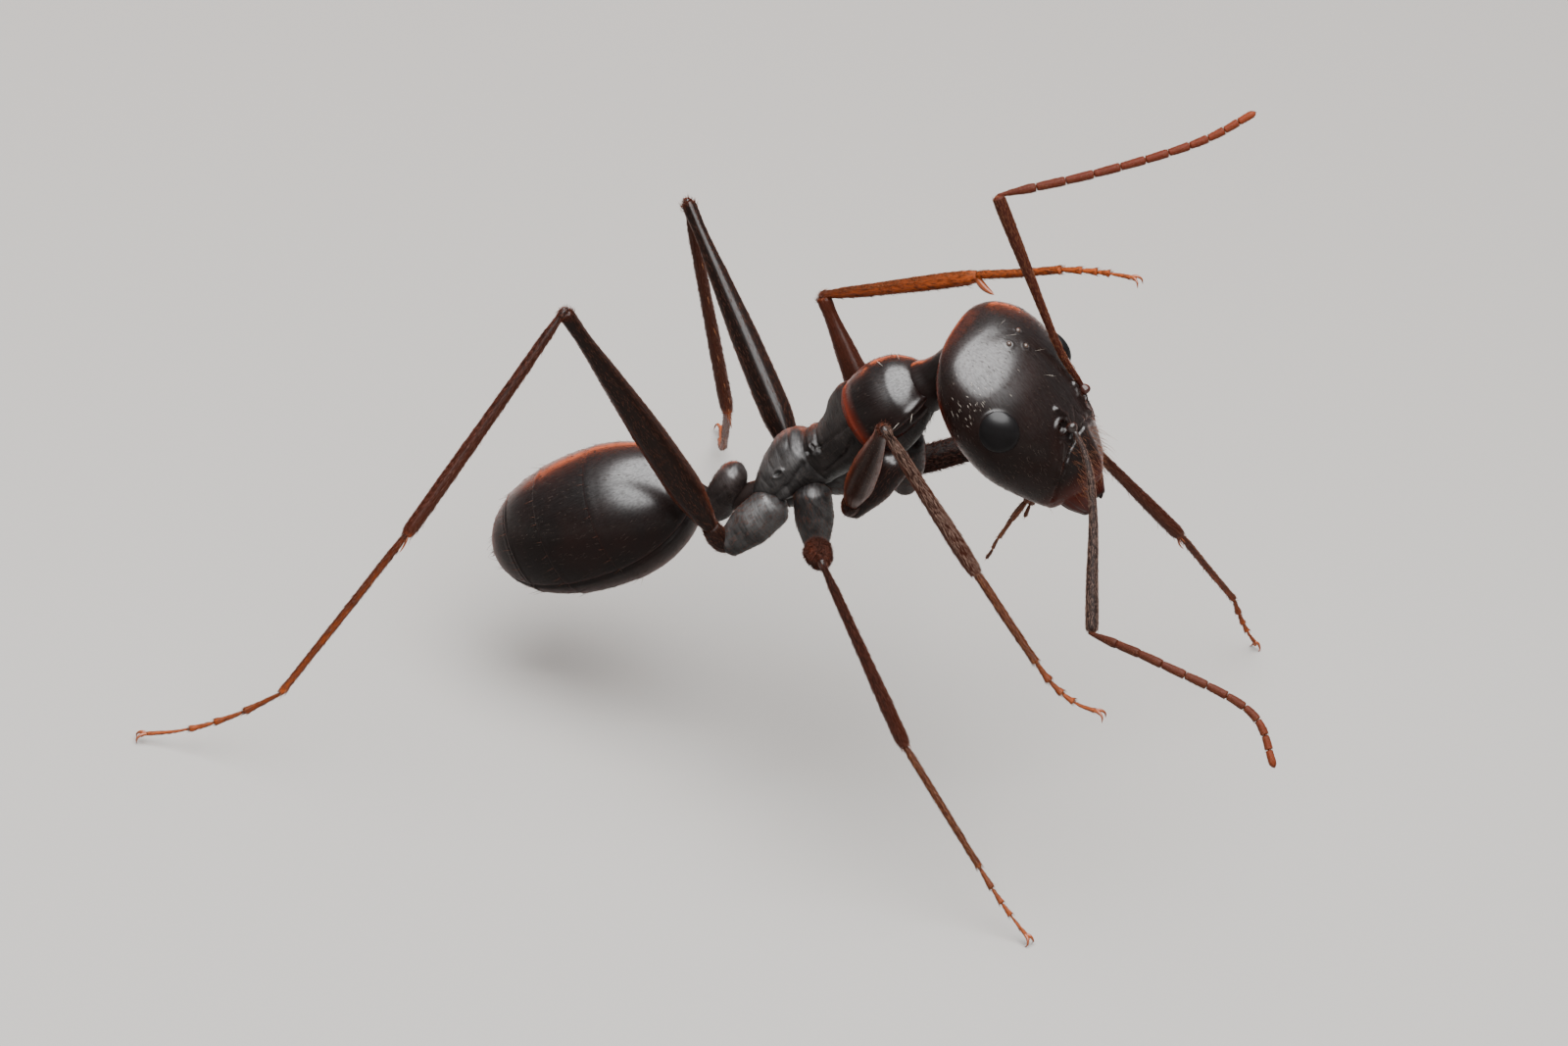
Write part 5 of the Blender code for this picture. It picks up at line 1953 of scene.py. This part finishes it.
# ---- studio
@dataclass
class Studio:
    """The plain pale floor, the soft lights and the camera."""

    azimuth: float = 9.56
    elevation: float = 27.39
    roll: float = 10.51
    camera_place: Spot = (0.023883, -0.145254, 0.079358)
    lens: float = 208.8
    floor_tint: Spot = (0.238, 0.230, 0.218)
    world_tint: Spot = (0.92, 0.96, 1.0)
    world_power: float = 0.19
    floor_width: float = 3.0         # in metres
    aim_height: float = 0.008        # metres over the feet at which the lamps point

    def floor(self) -> None:
        """Lays the floor under the feet."""
        Bench.clear()
        bpy.ops.mesh.primitive_plane_add(size=self.floor_width)
        made = bpy.context.object
        made.name = "floor"
        shop = Shop("floor_card")
        cloud = shop.noise(shop.node("ShaderNodeTexCoord", {}, {}).outputs["Object"], 30.0, 2.0)
        tint = shop.blend(cloud * 0.3, self.floor_tint, tuple(0.97 * c for c in self.floor_tint))
        made.data.materials.append(shop.finish({"Base Color": tint, "Roughness": 0.75}))

    def light(self, name: str, azimuth: float, elevation: float, away: float, size: tuple[float, float],
              watts: float, tint: Spot = (1.0, 1.0, 1.0)) -> None:
        """Hangs one soft lamp that faces the ant.

        Args:
            name: Its name.
            azimuth: Degrees round the ant, 0 toward -Y and 90 toward +X.
            elevation: Degrees above the level.
            away: Distance in metres.
            size: Width and height in metres.
            watts: Its power.
            tint: Its colour.
        """
        lamp = bpy.data.lights.new(name, "AREA")
        lamp.shape = "ELLIPSE"
        lamp.size, lamp.size_y = size
        lamp.energy = watts
        lamp.color = tint
        holder = bpy.data.objects.new(name, lamp)
        bpy.context.scene.collection.objects.link(holder)
        out = aim(azimuth - 90.0, elevation)
        holder.location = Vector((0, 0, self.aim_height)) + out * away
        holder.rotation_mode = "QUATERNION"
        holder.rotation_quaternion = out.to_track_quat("Z", "Y")

    def camera(self) -> None:
        """Sets the camera, rolled as the ant was seen."""
        a, e, r = (math.radians(x) for x in (self.azimuth, self.elevation, self.roll))
        back = Vector((math.sin(a) * math.cos(e), -math.cos(a) * math.cos(e), math.sin(e)))
        level = Vector((math.cos(a), math.sin(a), 0))
        rise = back.cross(level)
        right = level * math.cos(r) + rise * math.sin(r)
        above = rise * math.cos(r) - level * math.sin(r)
        data = bpy.data.cameras.new("camera")
        data.lens = self.lens
        data.sensor_width = 36.0
        data.clip_start, data.clip_end = 0.001, 10.0
        holder = bpy.data.objects.new("camera", data)
        bpy.context.scene.collection.objects.link(holder)
        turn = Matrix((right, above, back)).transposed().to_4x4()
        holder.matrix_world = Matrix.Translation(self.camera_place) @ turn
        bpy.context.scene.camera = holder

    def world(self) -> None:
        """Gives the room an even pale light."""
        made = bpy.data.worlds.new("room")
        made.use_nodes = True
        back = made.node_tree.nodes["Background"]
        back.inputs["Color"].default_value = (*self.world_tint, 1.0)
        back.inputs["Strength"].default_value = self.world_power
        bpy.context.scene.world = made

    def build(self) -> None:
        """Sets up the studio."""
        self.floor()
        self.light("key", 14.0, 75.0, 0.12, (0.175, 0.275), 1.27)
        self.light("back", 205.0, 4.5, 0.22, (0.24, 0.020), 0.145, (1.0, 0.17, 0.035))
        self.world()
        self.camera()


FEELER_LINES: dict[Side, tuple[tuple[Spot, ...], tuple[Spot, ...]]] = {
    Side.RIGHT: (
        ((4.05, -0.83, 1.78), (4.21, -0.90, 1.66), (4.46, -1.09, 1.42), (4.66, -1.32, 1.16),
         (4.80, -1.51, 0.86), (4.98, -1.81, 0.38), (5.19, -2.26, -0.33), (5.44, -2.74, -1.12)),
        ((-38.2, -31.9, 0.75), (-57.9, -54.4, 3.00), (-23.4, 3.6, 1.62), (-4.0, -13.0, 1.73),
         (-28.5, -44.8, 1.07))),
    Side.LEFT: (
        ((4.14, 0.15, 1.97), (3.95, 0.10, 2.18), (3.50, -0.01, 2.76), (2.69, 0.03, 4.03),
         (1.89, 0.07, 5.31)),
        ((-166.1, 55.3, 1.02), (177.1, 57.6, 3.02), (19.8, 21.0, 1.87), (23.0, 24.1, 1.78),
         (29.5, 33.3, 1.15))),
}


def main() -> None:
    """Builds the ant and its studio."""
    logging.basicConfig(level=logging.INFO, format="%(name)s %(message)s")
    feelers = [Feeler(side, *FEELER_LINES[side]) for side in Side]
    legs = [Leg(side, pair) for side in Side for pair in Pair]
    for part in (Studio(), Head(), Mouth(), Trunk(), Waist(), Gaster(), *feelers, *legs):
        part.build()
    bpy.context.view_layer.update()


if __name__ == "__main__":
    main()
